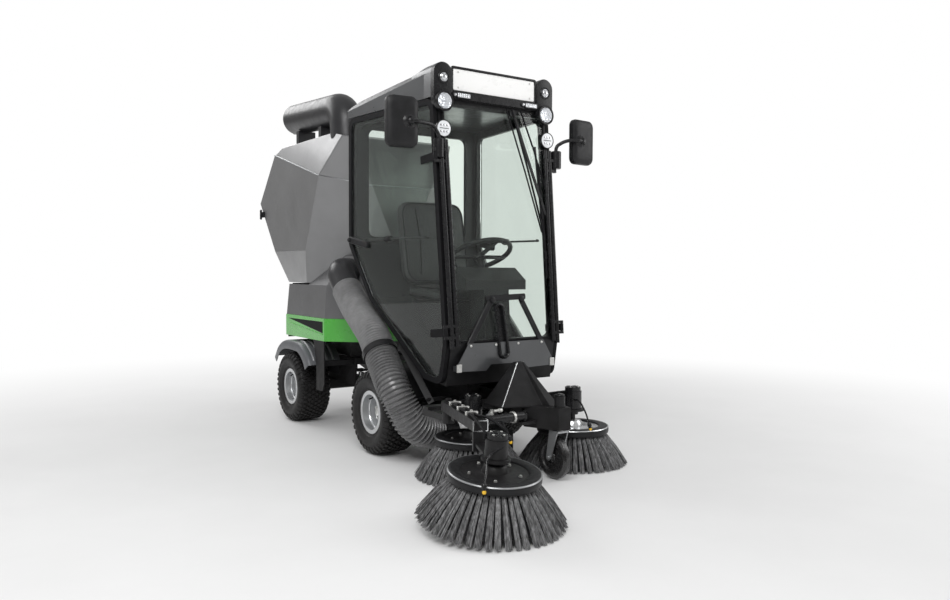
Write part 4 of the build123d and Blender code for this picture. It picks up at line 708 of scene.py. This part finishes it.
# Number plate: a bare white plate with a pressed rim in a black holder, over the light bar
plate_at = spot(0, -1087, 1947)
piece("plate_blank", "front_body", white, stacked(plate_at, X, Z, FORWARD, [(0, 510, 104, 8), (1.6, 510,
    104, 8), (2.2, 508, 102, 7), (2.2, 502, 96, 5), (1.4, 500, 94, 4)]), slot="white")
piece("plate_holder", "front_body", pod_black, ring_frame(plate_at, X, Z, FORWARD, [(-4, 538, 130, 14), (4,
    538, 130, 14), (6, 534, 126, 12), (6, 516, 110, 9), (4, 512, 106, 8), (-4, 512, 106, 8)]),
    slot="dark_plastic")
screws = []
for x in (-225, 225):
    for z in (1909, 1985):
        screws.append(lathe(spot(x, -1089.2, z), FORWARD, [(0, 5), (1.2, 4.6), (2.2, 2.6)], 18))
piece("plate_screws", "front_body", zinc, *screws, slot="steel")
bar_parts, bar_lenses, bar_chips = [], [], []
for start_x in (-252, 173):
    lamp_at = spot(start_x + 50, -1104, 1868)
    bar_parts.append(ring_frame(lamp_at, X, Z, FORWARD, [(-1, 86, 31, 6), (6, 86, 31, 6), (7.5, 83, 28, 5),
        (7.5, 79, 24, 4), (3, 77, 22, 4), (-1, 77, 22, 4)]))
    bar_parts.append(lathe(spot(start_x - 4, -1104, 1868), FORWARD,
        [(-1, 12.5), (5, 12.5), (6.5, 11), (6.5, 9)], 24))
    bar_lenses.append(stacked(lamp_at, X, Z, FORWARD, [(0, 76, 21, 3), (4, 76, 21, 3), (5.2, 73, 18, 2)]))
    for chip in range(6):
        for row in (-1, 1):
            chip_at = lamp_at + X * (-0.03 + chip * 0.012) + Z * (row * 0.005) + FORWARD * 0.0052
            bar_chips.append(lathe(chip_at, FORWARD, [(0, 4.2), (1, 4), (2.2, 2.4)], 12))
    bar_chips.append(lathe(spot(start_x - 4, -1104, 1868) + FORWARD * 0.0064, FORWARD,
        [(0, 7.2), (1.2, 6.6), (2.6, 3.6)], 20))
piece("light_bar_bezels", "front_body", plastic, *bar_parts, slot="dark_plastic")
piece("light_bar_lenses", "front_body", white_lens, *bar_lenses, slot="lens")
piece("light_bar_chips", "front_body", reflector, *bar_chips, slot="lens")

# Lamp pods' black faces, with the three lamps below one another on each side
shells, bowls, covers, discs_white, dark_bars, eyes = [], [], [], [], [], []
for side in (-1, 1):
    face_at = spot(side * 319, -1098, 1905)
    shells.append(stacked(face_at, X, Z, FORWARD, [(-30, 107.5, 231, 53.7), (0.5, 107.5, 231, 53.7), (2.5,
        104.5, 228, 52.2), (3, 96, 220, 47.9)], 10))
    head_at = spot(side * 319, -1101, 1946)
    shells.append(lathe(head_at, FORWARD, [(-2, 31.5), (3, 31.5), (4.5, 30), (3, 27), (0.8, 26.2)], 40))
    bowls.append(lathe(head_at, FORWARD, [(0.8, 22.5), (5, 21.5), (6.2, 19.5), (4.5, 18)], 32))
    eyes.append(lathe(head_at, FORWARD, [(3, 17.5), (8, 16), (11.5, 12), (13.2, 6), (13.6, 1)], 32))
    work_at = spot(side * 319, -1100.5, 1829)
    shells.append(lathe(work_at, FORWARD, [(-10, 50.5), (13, 51.5), (15.5, 50.5), (17, 48), (16.5, 42),
        (14.5, 40), (4.5, 39)], 56))
    rings = [(0.0046, 0.006), (0.0052, 0.012), (0.0066, 0.019), (0.0086, 0.026), (0.011, 0.033),
        (0.014, 0.0395)]
    points, faces = [], []
    for level, (distance, radius) in enumerate(rings):
        for step, turn in enumerate(turns(16, pi / 16 * (level % 2))):
            lift = 0.0012 if (step + level) % 2 else -0.0004
            points.append(work_at + FORWARD * (distance + lift) + (X * cos(turn) + Z * sin(turn)) * radius)
    for level in range(len(rings) - 1):
        for step in range(16):
            after = (step + 1) % 16
            low = level * 16
            near, far = (after, step) if level % 2 == 0 else (step, after)
            faces.append((low + step, low + after, low + 16 + far))
            faces.append((low + near, low + 16 + after, low + 16 + step))
    faces.append(tuple(range(16)))
    bowls.append((points, faces))
    covers.append(lathe(work_at, FORWARD, [(15, 39.8), (16, 39), (17.2, 30), (17.8, 15), (17.9, 1)], 40))
    led_at = spot(side * 325, -1101, 1694)
    shells.append(lathe(led_at, FORWARD, [(0, 36), (4, 42.5), (16.5, 43), (19, 41.8), (18.5, 39.2),
        (15, 38.5), (14.8, 30)], 48))
    shells.append(bar(spot(side * 329, -1098, 1694), spot(side * 329, screen_y(1694) + 2, 1694), 10, 16))
    discs_white.append(lathe(led_at, FORWARD, [(15, 38.4), (16.8, 38), (17.6, 34), (17.8, 2)], 44))
    dark_bars.append(stacked(led_at + FORWARD * 0.0176, X, Z, FORWARD,
        [(0, 52, 3.4, 1.6), (1, 51, 2.8, 1.3)], 3))
    for row in (-1, 1):
        for column in (-1, 0, 1):
            bead_at = led_at + FORWARD * 0.0176 + X * (column * 0.0175) + Z * (row * 0.0155)
            eyes.append(lathe(bead_at, FORWARD, [(0, 6.2), (1.2, 5.6), (2, 3.4)], 16))
lamp_shells = piece("lamp_shells", "front_body", pod_black, *shells, slot="dark_plastic")
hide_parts("front_lamps")
piece("lamp_bowls", "front_body", reflector, *bowls, angle=4, slot="lens")
piece("lamp_covers", "front_body", lens_glass, *covers, slot="lens")
piece("lamp_discs", "front_body", white_lens, *discs_white, slot="lens")
piece("lamp_lines", "front_body", plastic, *dark_bars, slot="dark_plastic")
piece("lamp_eyes", "front_body", reflector, *eyes, slot="lens")

# Mirrors: crowned shells with a glass behind, a ball joint and a bent arm in its clamp
mirror_shells, mirror_glass, mirror_arms, clamps = [], [], [], []
for side, low_z in ((-1, 1583), (1, 1586)):
    middle = spot(side * 562, -1103, low_z + 118)
    tip = Vector((side * 0.1, -0.995, 0)).normalized()
    flat_across = Z.cross(tip).normalized() * -1
    mirror_shells.append(stacked(middle, flat_across, Z, tip, [
        (0, 156, 236, 30), (4, 162, 242, 33), (20, 164, 244, 34), (32, 158, 238, 36),
        (40, 140, 220, 38), (43.5, 104, 184, 36), (44, 50, 120, 24),
    ], 8))
    mirror_glass.append(stacked(middle, flat_across, Z, tip * -1, [(0, 150, 230, 27), (1.5, 148, 228, 26)],
        8))
    ball_at = middle + tip * 0.046 - X * side * 0.03
    mirror_arms.append(lathe(middle + tip * 0.0395 - X * side * 0.03, tip,
        [(0, 40), (5, 38), (13, 24), (22, 17.5), (31, 14.5), (36, 8)], 32))
    arm_y = -1112
    drop_x = -352 if side < 0 else 391
    arm_points = [ball_at + tip * 0.014, ball_at + tip * 0.02 - X * side * 0.04,
        spot(drop_x + side * 62, -1146, low_z + 116), spot(drop_x + side * 22, arm_y - 10, low_z + 98),
        spot(drop_x, arm_y, low_z + 66), spot(drop_x, arm_y, 1548)]
    mirror_arms.append(pipe(arm_points, 9.5, 14, 10))
    clamp_at = spot(drop_x, arm_y, 1548)
    clamps.append(lathe(clamp_at, Z, [(0, 24), (3, 27.5), (91, 27.5), (94, 24)], 32))
    clamps.append(stacked(clamp_at + Z * 0.048 + Y * 0.022 - X * side * 0.016, X, Z, Y,
        [(-18, 44, 82, 6), (6, 46, 86, 6), (10, 42, 82, 5)], 4))
    for height in (0.018, 0.078):
        clamps.append(lathe(clamp_at + Z * height + FORWARD * 0.018, FORWARD,
            [(0, 8.5), (6, 8.5), (8, 6.5)], 6))
mirror_piece = piece("mirror_shells", "front_body", plastic, *mirror_shells, slot="dark_plastic")
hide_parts("mirrors")
piece("mirror_glass", "front_body", reflector, *mirror_glass, slot="lens")
piece("mirror_arms", "front_body", pod_black, *mirror_arms, slot="dark_plastic")
piece("mirror_clamps", "front_body", pod_black, *clamps, slot="dark_plastic")

# Pillar tubes beside the windscreen
tubes = []
for side in (-1, 1):
    for inset, out, radius, low_z, high_z in ((6, 15, 12.5, 618, 1640), (-22, 17.5, 12, 630, 1640)):
        ends = []
        for z in (low_z, (low_z + high_z) / 2, high_z):
            y = screen_y(z)
            ends.append(spot(side * (cab_half(y) + inset), y - out, z))
        tubes.append(straight_tube(ends, radius, 20))
piece("pillar_tubes", "front_body", pod_black, *tubes, slot="dark_plastic")

# Wiper: blade, arm and link rods that fan out from the light bar
rods, blade = [], []
for (top_x, top_z), (low_x, low_z), radius in (((68, 1832), (262, 1200), 4.2),
    ((104, 1834), (276, 1190), 5.2), ((160, 1834), (300, 1440), 4.5)):
    rods.append(straight_tube([on_screen(top_x, top_z, 20), on_screen((top_x + low_x) / 2,
        (top_z + low_z) / 2, 24), on_screen(low_x, low_z, 18)], radius, 10))
blade.append(straight_tube([on_screen(262, 1560, 11), on_screen(281, 1280, 10.5), on_screen(287, 960, 11)],
    6.5, 10))
for z in (1480, 1380, 1290, 1180, 1080):
    x = 262 + (1560 - z) * 0.042
    blade.append(stacked(on_screen(x, z, 15), X, SCREEN_UP, SCREEN_OUT, [(-4, 16, 46, 4), (4, 13, 42, 4)],
        3))
piece("wiper_blade", "front_body", gasket, *blade, *rods, slot="dark_plastic")

# Lower screen: crossed bars, a slotted cover and the seal round the pane
a_frame = []
for start, end in (((-84, 846), (-226, 632)), ((110, 846), (226, 632)), ((-98, 858), (124, 866))):
    low_point, high_point = on_screen(*start, 6), on_screen(*end, 6)
    run = high_point - low_point
    length = run.length / MM
    middle = (low_point + high_point) / 2
    across = run.cross(SCREEN_OUT).normalized()
    a_frame.append(stacked(middle, run.normalized(), across, SCREEN_OUT,
        [(-0.8, length + 24, 30, 8), (5, length + 24, 30, 8), (8, length + 18, 24, 7)], 4))
for x, z in ((-78, 850), (106, 852)):
    a_frame.append(lathe(on_screen(x, z, 13), SCREEN_OUT, [(0, 17), (5, 16.5), (10, 13), (12, 6)], 24))
piece("screen_bars", "front_body", black_coat, *a_frame, slot="black_coat")
slot_middle = on_screen(-34, 694, 8)
slot_rise = (on_screen(-46, 826, 8) - on_screen(-22, 562, 8)).normalized()
slot_across = slot_rise.cross(SCREEN_OUT).normalized()
piece("slot_cover", "front_body", pod_black, ring_frame(slot_middle, slot_across, slot_rise, SCREEN_OUT, [
    (-6, 66, 286, 33), (12, 66, 286, 33), (20, 60, 280, 30), (22, 50, 270, 25),
    (18, 40, 260, 20), (6, 36, 256, 18), (-6, 36, 256, 18)], 10),
    stacked(slot_middle, slot_across, slot_rise, SCREEN_OUT, [(-5, 37, 257, 18.4), (2, 37, 257, 18.4)], 10),
    slot="dark_plastic")
seal = []
for side in (-1, 1):
    seal.append(straight_tube([on_screen(side * (cab_half(screen_y(z)) - 20), z, 6) for z in (690, 1240,
        1790)], 4.5, 8))
seal.append(straight_tube([on_screen(-268, 647, 6), on_screen(0, 647, 6), on_screen(268, 647, 6)], 4.5, 8))
piece("screen_seal", "front_body", gasket, *seal, slot="dark_plastic")

# Apron's end tabs and bolts
tabs = []
for side in (-1, 1):
    tabs.append(stacked(spot(side * 292, -1208, 521), X, Z, FORWARD,
        [(0, 30, 40, 3), (3, 30, 40, 3), (4, 27, 37, 2)], 3))
piece("apron_tabs", "front_body", zinc, *tabs, slot="steel")
apron_bolts = []
for x in (-222, -70, 70, 222):
    apron_bolts.append(bolt(spot(x, -1207, 628), FORWARD, 5.5, 6))
piece("apron_bolts", "front_body", zinc, *apron_bolts, slot="steel")

# Door furniture: rear latch strap, and inner pull rod with its knob
for side, body in ((-1, "right_door"), (1, "left_door")):
    def door_point(y, z, out):
        return spot(side * (cab_half(y) + out), y, z)
    out = Vector((side, -0.111, 0)).normalized()
    run = door_point(-300, 1172, 24) - door_point(-495, 1134, 24)
    middle = door_point(-300, 1172, 24) - run / 2
    rise = run.cross(out).normalized()
    length = run.length / MM
    strap = stacked(middle, run.normalized(), rise, out, [
        (-16, length, 36, 14), (4, length, 36, 14), (9, length - 8, 28, 12)], 6)
    knob = lathe(door_point(-322, 1168, 33), out, [(0, 13), (6, 12), (10, 8)], 20)
    piece("door_latch" + ("_right" if side < 0 else "_left"), body, plastic, strap, knob,
        slot="dark_plastic")
    rod = straight_tube([door_point(-430, 1168, 2), door_point(-700, 1166, 2), door_point(-1020, 1162, 2)],
        5.5, 12)
    grip = lathe(door_point(-690, 1166, 2), (door_point(-640, 1166, 2) - door_point(-690, 1166, 2)),
        [(0, 8), (6, 17), (30, 19), (52, 15), (58, 8)], 24)
    posts = [bar(door_point(y, 1166, 2), door_point(y, 1166, 14), 6, 10) for y in (-470, -1000)]
    piece("door_rod" + ("_right" if side < 0 else "_left"), body, black_coat, rod, grip, *posts,
        slot="dark_plastic")

# Seat: crowned cushions with welts and creases
PILLOW_FLAT, PILLOW_SOFT = 0.28, 0.55


def signed_power(value, exponent):
    return (1 if value >= 0 else -1) * abs(value) ** exponent


def pillow(middle, across, rise, out, half_across, half_rise, half_out, crease, rows=28, count=72):
    rings = []
    for row in range(rows + 1):
        lift = -pi / 2 + pi * row / rows
        level = signed_power(cos(lift), PILLOW_SOFT)
        w = signed_power(sin(lift), PILLOW_SOFT)
        ring = []
        for turn in turns(count):
            u = level * signed_power(cos(turn), PILLOW_FLAT)
            v = level * signed_power(sin(turn), PILLOW_FLAT)
            ripple = crease * sin(u * 9 + v * 4) * sin(v * 7 - u * 3) * max(0, w)
            offset = across * (u * half_across) + rise * (v * half_rise) + out * (w * half_out + ripple)
            ring.append(middle + offset * MM)
        rings.append(ring)
    return skin(rings, capped=False)


def welt(middle, across, rise, out, half_across, half_rise, height, corner, radius):
    line = [middle + (across * u + rise * v + out * height) * MM
            for u, v in rounded(2 * half_across, 2 * half_rise, corner, 8)]
    rings = []
    for i, at in enumerate(line):
        tangent = (line[(i + 1) % len(line)] - line[i - 1]).normalized()
        rings.append(hoop(at, tangent.cross(out).normalized(), out, radius, 8))
    return skin(rings, closed=True)


back_rise = Vector((0, 0.192, 0.981)).normalized()
back_out = Vector((0, -0.981, 0.192)).normalized()
seat_rise = Vector((0, 1, 0.04)).normalized()
seat_out = X.cross(seat_rise).normalized()
seat_middle, back_middle = spot(0, -742, 876), spot(0, -482, 1155)
seat_low = piece("seat_cushion", "front_body", leather, pillow(seat_middle, X, seat_rise, seat_out, 220,
    196, 40, crease=1.6), slot="cushion")
seat_back = piece("back_cushion", "front_body", leather, pillow(back_middle, X, back_rise, back_out, 214,
    240, 40, crease=1.6), slot="cushion")
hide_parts("seat")
piece("seat_welts", "front_body", gasket, welt(seat_middle, X, seat_rise, seat_out, 205, 181, 30, 60, 3.5),
    welt(seat_middle, X, seat_rise, seat_out, 214, 190, -18, 50, 3),
    welt(back_middle, X, back_rise, back_out, 199, 225, 30, 70, 3.5),
    *[straight_tube([back_middle + X * (side * 0.12) + back_rise * 0.19 + back_out * 0.04,
    back_middle + X * (side * 0.105) + back_out * 0.0412,
    back_middle + X * (side * 0.12) - back_rise * 0.19 + back_out * 0.04], 2.8, 8) for side in (-1, 1)],
    slot="cushion")

# Hopper: light strip along the seam, a painted highlight on the cover's lower edge; hoop behind the duct,
# and a latch
seam_points = [spot(450, 862, 1777.8), spot(450, 126, 1575), spot(206, -118, 1507.8),
    spot(-206, -118, 1507.8), spot(-450, 126, 1575), spot(-450, 862, 1777.8)]
piece("hopper_seam_highlight", "hopper", post_grey_and_highlight, straight_tube(seam_points, 4.5, 10), slot="silver_grey")
piece("duct_hoop", "hopper", zinc, pipe([spot(-290, 852, 2131), spot(-290, 925, 2118),
    spot(-290, 952, 2040), spot(-290, 925, 1954), spot(-290, 852, 1938)], 5, 12, 10), slot="steel")
latch_at = spot(-450.5, 1090, 1385)
piece("hopper_latch", "hopper", plastic,
      stacked(latch_at, Y, Z, X * -1, [(-2, 60, 40, 6), (10, 60, 40, 6), (13, 54, 34, 5)], 4),
      stacked(latch_at + X * -0.013, Y, Z, X * -1, [(0, 16, 70, 7), (8, 16, 70, 7), (11, 12, 64, 5)], 4),
      slot="dark_plastic")

# Brush carriers' bright edges: painted highlight along the rim
for node, body, centre, up, *_ in brush_places:
    highlight_finish = bright_metal_and_highlight if node == "brush_c" else post_grey_and_highlight
    piece(node + "_edge", body, highlight_finish, lathe(centre, up, [
        (188, 185), (190, 187.2), (192.5, 186.2), (194.5, 183.5), (194.5, 181.5), (190, 182),
    ], 72, closed=True), slot="steel")

# Third arm: bright end edge, a painted highlight, clamped thin lines along its top, and the brush motor's
# two hoses
arm_base, arm_run = spot(-430, -1330, 370), Vector((-0.297, -0.955, 0)).normalized()
arm_side = Vector((arm_run.y, -arm_run.x, 0)).normalized()
arm_end = arm_base + arm_run * 0.5
piece("arm_end_highlight", "swing_arm", bright_metal_and_highlight, ring_frame(arm_end, arm_side, Z, arm_run, [
    (-4, 63.2, 45.2, 4), (1.2, 63.2, 45.2, 4), (1.2, 56, 38, 3), (-4, 56, 38, 3)], 3),
    slot="steel")
lines, clips = [], []
motor_top = spot(-620, -1940, 290 * sin(tilt)) + lean_up * 0.318
for share in (-1, 1):
    along_top = [arm_base + arm_run * reach + arm_side * (0.014 * share) + Z * 0.029 for reach in (0.07,
        0.18, 0.3, 0.42)]
    lines.append(pipe(along_top + [arm_base + arm_run * 0.52 + arm_side * (0.03 * share) + Z * 0.034,
        motor_top + arm_side * (0.044 * share) - arm_run * 0.03 + Z * 0.03,
        motor_top + arm_side * (0.046 * share) - arm_run * 0.012], 6.2, 12, 10))
for reach in (0.11, 0.24, 0.37):
    at = arm_base + arm_run * reach + Z * 0.022
    clips.append(stacked(at, arm_side, arm_run, Z, [(0, 54, 18, 3), (15, 54, 18, 3), (17, 50, 14, 3)], 3))
    clips.append(bolt(at + Z * 0.017, Z, 5.5, 6))
piece("arm_lines", "swing_arm", gasket, *lines, slot="dark_plastic")
piece("arm_clips", "swing_arm", zinc, *clips, slot="steel")
unit_lines = []
for (x, y), (end_x, end_y) in (((-240, -1250), (-150, -1120)), ((360, -1300), (250, -1140))):
    for share in (-1, 1):
        unit_lines.append(pipe([spot(x + 12 * share, y + 44, 352), spot(x + 14 * share, y + 78, 356),
            spot((x + end_x) / 2 + 12 * share, (y + end_y) / 2 + 20, 350),
            spot(end_x + 12 * share, end_y, 330)], 6.2, 12, 10))
piece("unit_lines", "sweeping_unit", gasket, *unit_lines, slot="dark_plastic")

# Water nozzles on bent rods, with yellow tips
def nozzle(name, body, route, direction):
    tip = route[-1]
    rod = pipe(route, 4.2, 10, 8)
    holder = lathe(tip + Z * 0.012, direction, [(0, 8.5), (4, 10.5), (16, 10.5), (20, 8), (26, 8)], 18)
    piece(name, body, pod_black, rod, holder, slot="dark_plastic")
    piece(name + "_tip", body, yellow, lathe(tip + Z * 0.012 + direction.normalized() * 0.024, direction,
        [(0, 6.5), (2, 7.5), (9, 7.5), (14, 4.5)], 6), slot="lens")


nozzle("nozzle_a", "swing_arm", [motor_top - lean_up * 0.02 + FORWARD * 0.045, spot(-680, -2010, 298),
    spot(-745, -2085, 262), spot(-780, -2119, 222)], Vector((-0.2, -0.35, -0.9)))
nozzle("nozzle_b", "sweeping_unit", [spot(-212, -1300, 332), spot(-222, -1400, 338), spot(-243, -1510, 290),
    spot(-251, -1561, 238)], Vector((0.1, -0.3, -0.95)))
nozzle("nozzle_c", "sweeping_unit", [spot(330, -1345, 332), spot(300, -1420, 338), spot(272, -1500, 290),
    spot(260, -1537, 238)], Vector((0, -0.3, -0.95)))

# Hood: one folded sheet with bright strips along its fold and end edges, painted highlights; cover over the
# castor's post
hood_low = [(-184, -1262), (-184, -1415), (14, -1470), (24, -1520), (76, -1520), (190, -1310), (190, -1262)]
hood_high = [(-35, -1300), (-35, -1335), (-6, -1336), (2, -1338), (10, -1338), (18, -1312), (18, -1300)]
levels = [[spot(x, y, z) for x, y in hood_low] for z in (346, 353)]
levels.append([spot(x, y, 545) for x, y in hood_high])
levels.append([spot(x * 0.9, y, 548.5) for x, y in hood_high])
hood = piece("hood_sheet", "sweeping_unit", black_coat, skin(levels), bevel=2, angle=14, slot="black_coat")
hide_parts("mount_hood")
piece("hood_fold_highlights", "sweeping_unit", bright_metal_and_highlight, straight_tube([spot(-183, -1416.5, 352), spot(-109,
    -1376.2, 450), spot(-35, -1336.5, 547)], 2.8, 8), straight_tube([spot(190, -1311.5, 352), spot(104,
    -1312.5, 450), spot(18, -1313.5, 547)], 3.2, 8), slot="steel")
cover_outline = [(-58, -1420), (8, -1382), (92, -1500), (106, -1535), (84, -1602), (16, -1594)]
cover_middle = Vector((50, -1560, 0))
cover_rows = []
for (x, y), (next_x, next_y) in zip(cover_outline, cover_outline[1:] + cover_outline[:1]):
    for share in (0, 0.25, 0.5, 0.75):
        rim = Vector((x + (next_x - x) * share, y + (next_y - y) * share, 0)) - cover_middle
        outer, inner = rim.length, rim.length - 5
        cover_rows.append([spot(*(cover_middle + rim.normalized() * reach + Z * level)) for reach,
            level in ((outer, 248), (outer, 352), (26.5, 352), (26.5, 348), (inner, 348), (inner, 248))])
piece("castor_cover", "sweeping_unit", frame_black, skin(cover_rows, closed=True), bevel=1.5,
    slot="black_coat")
piece("castor_cap", "sweeping_unit", pod_black,
      lathe(spot(50, -1560, 403.5), Z, [(0, 22), (4, 24), (10, 22), (13, 14), (14, 4)], 28), slot="steel")

# Rear fenders: moulded shells with an outer lip and four raised ribs on the front slope
def fender_shell(side):
    route = smooth_route([Vector((0, y, z)) for y, z in (
        (236, 402), (268, 448), (322, 494), (392, 527), (480, 535), (600, 535), (690, 520),
        (766, 480), (826, 412))], 7)
    section = [(250, 0), (350, 0), (452, 0), (464, 3.5), (472, 11), (475, 20), (476, 58), (472, 58),
        (471, 20), (466, 11), (452, 5), (350, 5), (250, 5)]
    rings = []
    for i, at in enumerate(route):
        tangent = (route[min(i + 1, len(route) - 1)] - route[max(i - 1, 0)]).normalized()
        inward = Vector((0, tangent.z, -tangent.y)) if tangent.y > 0 else Vector((0, -tangent.z, tangent.y))
        rings.append([spot(side * x, *(at + inward * depth).yz) for x, depth in section])
    return skin(rings)


fenders = piece("fender_shells", "rear_body", fender_grey, fender_shell(-1), fender_shell(1),
    slot="dark_plastic")
liner_outline = [(262, 430), (322, 487), (392, 520), (480, 528), (600, 528), (690, 513), (766, 472),
    (816, 410), (816, 330), (270, 330)]
piece("fender_liners", "rear_body", gasket, *[prism([spot(side * 250, y, z) for y, z in liner_outline],
    X * (side * -0.003)) for side in (-1, 1)], slot="dark_plastic")
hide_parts("rear_fenders")
# The ribs are the fender's own moulding in a lighter grey: painted highlight
ribs = []
for side in (-1, 1):
    for x in (296, 340, 384, 428):
        ribs.append(pipe([spot(side * x, y, z) for y, z in ((252, 424), (268, 447), (322, 493), (392, 527),
            (455, 532))], 8.5, 14, 8))
piece("fender_ribs", "rear_body", rib_highlight_grey, *ribs, slot="dark_plastic")

# Body trim: seal under the hopper, and the skirt's blank panel with its pressed line
piece("hopper_seal", "rear_body", gasket, block((-396, 300, 896), (-374, 684, 909.5)),
    block((374, 300, 896), (396, 684, 909.5)), block((-374, 300, 896), (374, 318, 909.5)),
    block((-374, 666, 896), (374, 684, 909.5)), slot="dark_plastic")
trim = []
for side in (-1, 1):
    trim.append(prism([spot(side * 430.2, y, z) for y, z in ((672, 676), (112, 679.5), (112, 610))],
        X * (side * 0.0012)))
piece("skirt_panels", "rear_body", gasket, *trim, slot="dark_plastic")
piece("skirt_lines", "rear_body", green, *[straight_tube([spot(side * 430.4, y, z) for y,
    z in ((640, 646), (376, 624), (112, 602))], 3.2, 8) for side in (-1, 1)], slot="green")

# Rims: bright lip and two pressed rings inside the dish, in a brighter metal than the rim: painted
# highlight
for wheel, (side, axle_y) in wheel_places.items():
    rings = [lathe(wheel_centre(side, axle_y), X * side, profile, 72, closed=True) for profile in (
        [(80, 103), (83.5, 106.2), (86.2, 105), (86.8, 101), (85, 98.5), (80, 98.5)],
        [(44, 92.5), (47, 95), (50, 94), (50, 90), (47, 88), (44, 89)])]
    piece("rim_highlight_rings_" + wheel, "wheel_" + wheel, bright_metal_and_highlight, *rings, slot="rim_silver")

# Brush cores: dark cones inside the bundles, painted shade where the shade between the bristles falls
for node, body, centre, up, *_ in brush_places:
    reach_out, low = (262, 30) if node == "brush_a" else (248, 12)
    piece(node + "_shade_core", body, gasket, lathe(centre, up, [(164, 120), (164, 146), (low, reach_out), (low,
        reach_out - 6), (150, 120)], 64, closed=True), slot="bristle")

# Swing cylinder's bright gland and the fitting beside it
piece("cylinder_gland", "sweeping_unit", zinc, lathe(spot(-172, -1475, 312), X, [(0, 24), (0, 26.2), (2,
    28.5), (12, 28.5), (14, 26.2), (14, 24)], 32, closed=True),
    lathe(spot(-286, -1475, 335), Z, [(0, 11), (12, 11), (12.5, 8.5), (26, 8.5)], 6),
    lathe(spot(-276, -1475, 352), X, [(0, 7), (30, 7), (30.5, 10), (46, 10)], 12), slot="steel")

# Floor and backdrop: it fades to white away from the machine
GROUND_REACH = 14
FADE_START, FADE_END = 1.6, 5.5
ground = bpy.data.meshes.new("floor")
ground.from_pydata([(x * GROUND_REACH, y * GROUND_REACH, 0) for x,
    y in ((-1, -1), (1, -1), (1, 1), (-1, 1))], [], [(0, 1, 2, 3)])
floor = bpy.data.objects.new("floor", ground)
bpy.context.scene.collection.objects.link(floor)
floor_material, tree, shader, out = node_material("floor_finish")
tree.links.new(ramp(tree, noise(tree, 1.2, 6, 0.6), 0.3, 0.7, (0.8, 0.8, 0.8), (0.84, 0.84, 0.84)),
    shader.inputs["Base Color"])
shader.inputs["Roughness"].default_value = 0.75
bump(tree, shader, noise(tree, 60, 4, 0.6), 0.08, 0.002)
coordinates = add(tree, "ShaderNodeTexCoord")
distance = add(tree, "ShaderNodeVectorMath", links={0: coordinates.outputs["Object"]}, operation="LENGTH")
fade = add(tree, "ShaderNodeMapRange", {"From Min": FADE_START, "From Max": FADE_END},
    {0: distance.outputs["Value"]}, interpolation_type="SMOOTHSTEP")
glow = add(tree, "ShaderNodeEmission", {1: 1})
join = add(tree, "ShaderNodeMixShader", links={0: fade.outputs[0], 1: shader.outputs[0],
    2: glow.outputs[0]})
tree.links.new(join.outputs[0], out.inputs[0])
ground.materials.append(floor_material)

# Light: a pale sky all round and three large soft lamps
SKY_STRENGTH = 0.56
world = bpy.data.worlds.new("world")
bpy.context.scene.world = world
world.use_nodes = True
tree = world.node_tree
tree.nodes.clear()
shown = add(tree, "ShaderNodeBackground", {0: (1, 1, 1, 1), 1: 1})
coordinates = add(tree, "ShaderNodeTexCoord")
height = add(tree, "ShaderNodeSeparateXYZ", links={0: coordinates.outputs["Generated"]}).outputs[2]
level = add(tree, "ShaderNodeMapRange", {"From Min": -1}, {0: height}).outputs[0]
lit = add(tree, "ShaderNodeBackground", {1: SKY_STRENGTH}, {0: ramp(tree, level, 0.42, 0.80, (0.34, 0.33,
    0.32), (1, 1, 1))})
rays = add(tree, "ShaderNodeLightPath")
seen = add(tree, "ShaderNodeMath", links={0: rays.outputs["Is Camera Ray"],
    1: rays.outputs["Is Transmission Ray"]}, operation="MAXIMUM")
choose = add(tree, "ShaderNodeMixShader", links={0: seen.outputs[0], 1: lit.outputs[0],
    2: shown.outputs[0]})
add(tree, "ShaderNodeOutputWorld", links={0: choose.outputs[0]})


def soft_lamp(name, at, toward, size, power):
    data = bpy.data.lights.new(name, "AREA")
    data.shape = "RECTANGLE"
    data.size, data.size_y = size
    data.energy = power
    lamp = bpy.data.objects.new(name, data)
    bpy.context.scene.collection.objects.link(lamp)
    lamp.location = at
    lamp.rotation_euler = (toward - at).to_track_quat("-Z", "Y").to_euler()


soft_lamp("key", Vector((-3.2, -3.6, 4.6)), Vector((0, 0, 0.8)), (3, 3), 175)
soft_lamp("fill", Vector((4.2, -3, 3)), Vector((0, 0, 0.9)), (3, 3), 70)
soft_lamp("back", Vector((-1.5, 4.6, 4.2)), Vector((0, 0, 1.2)), (4, 2), 90)

bpy.context.scene.view_settings.view_transform = "Standard"
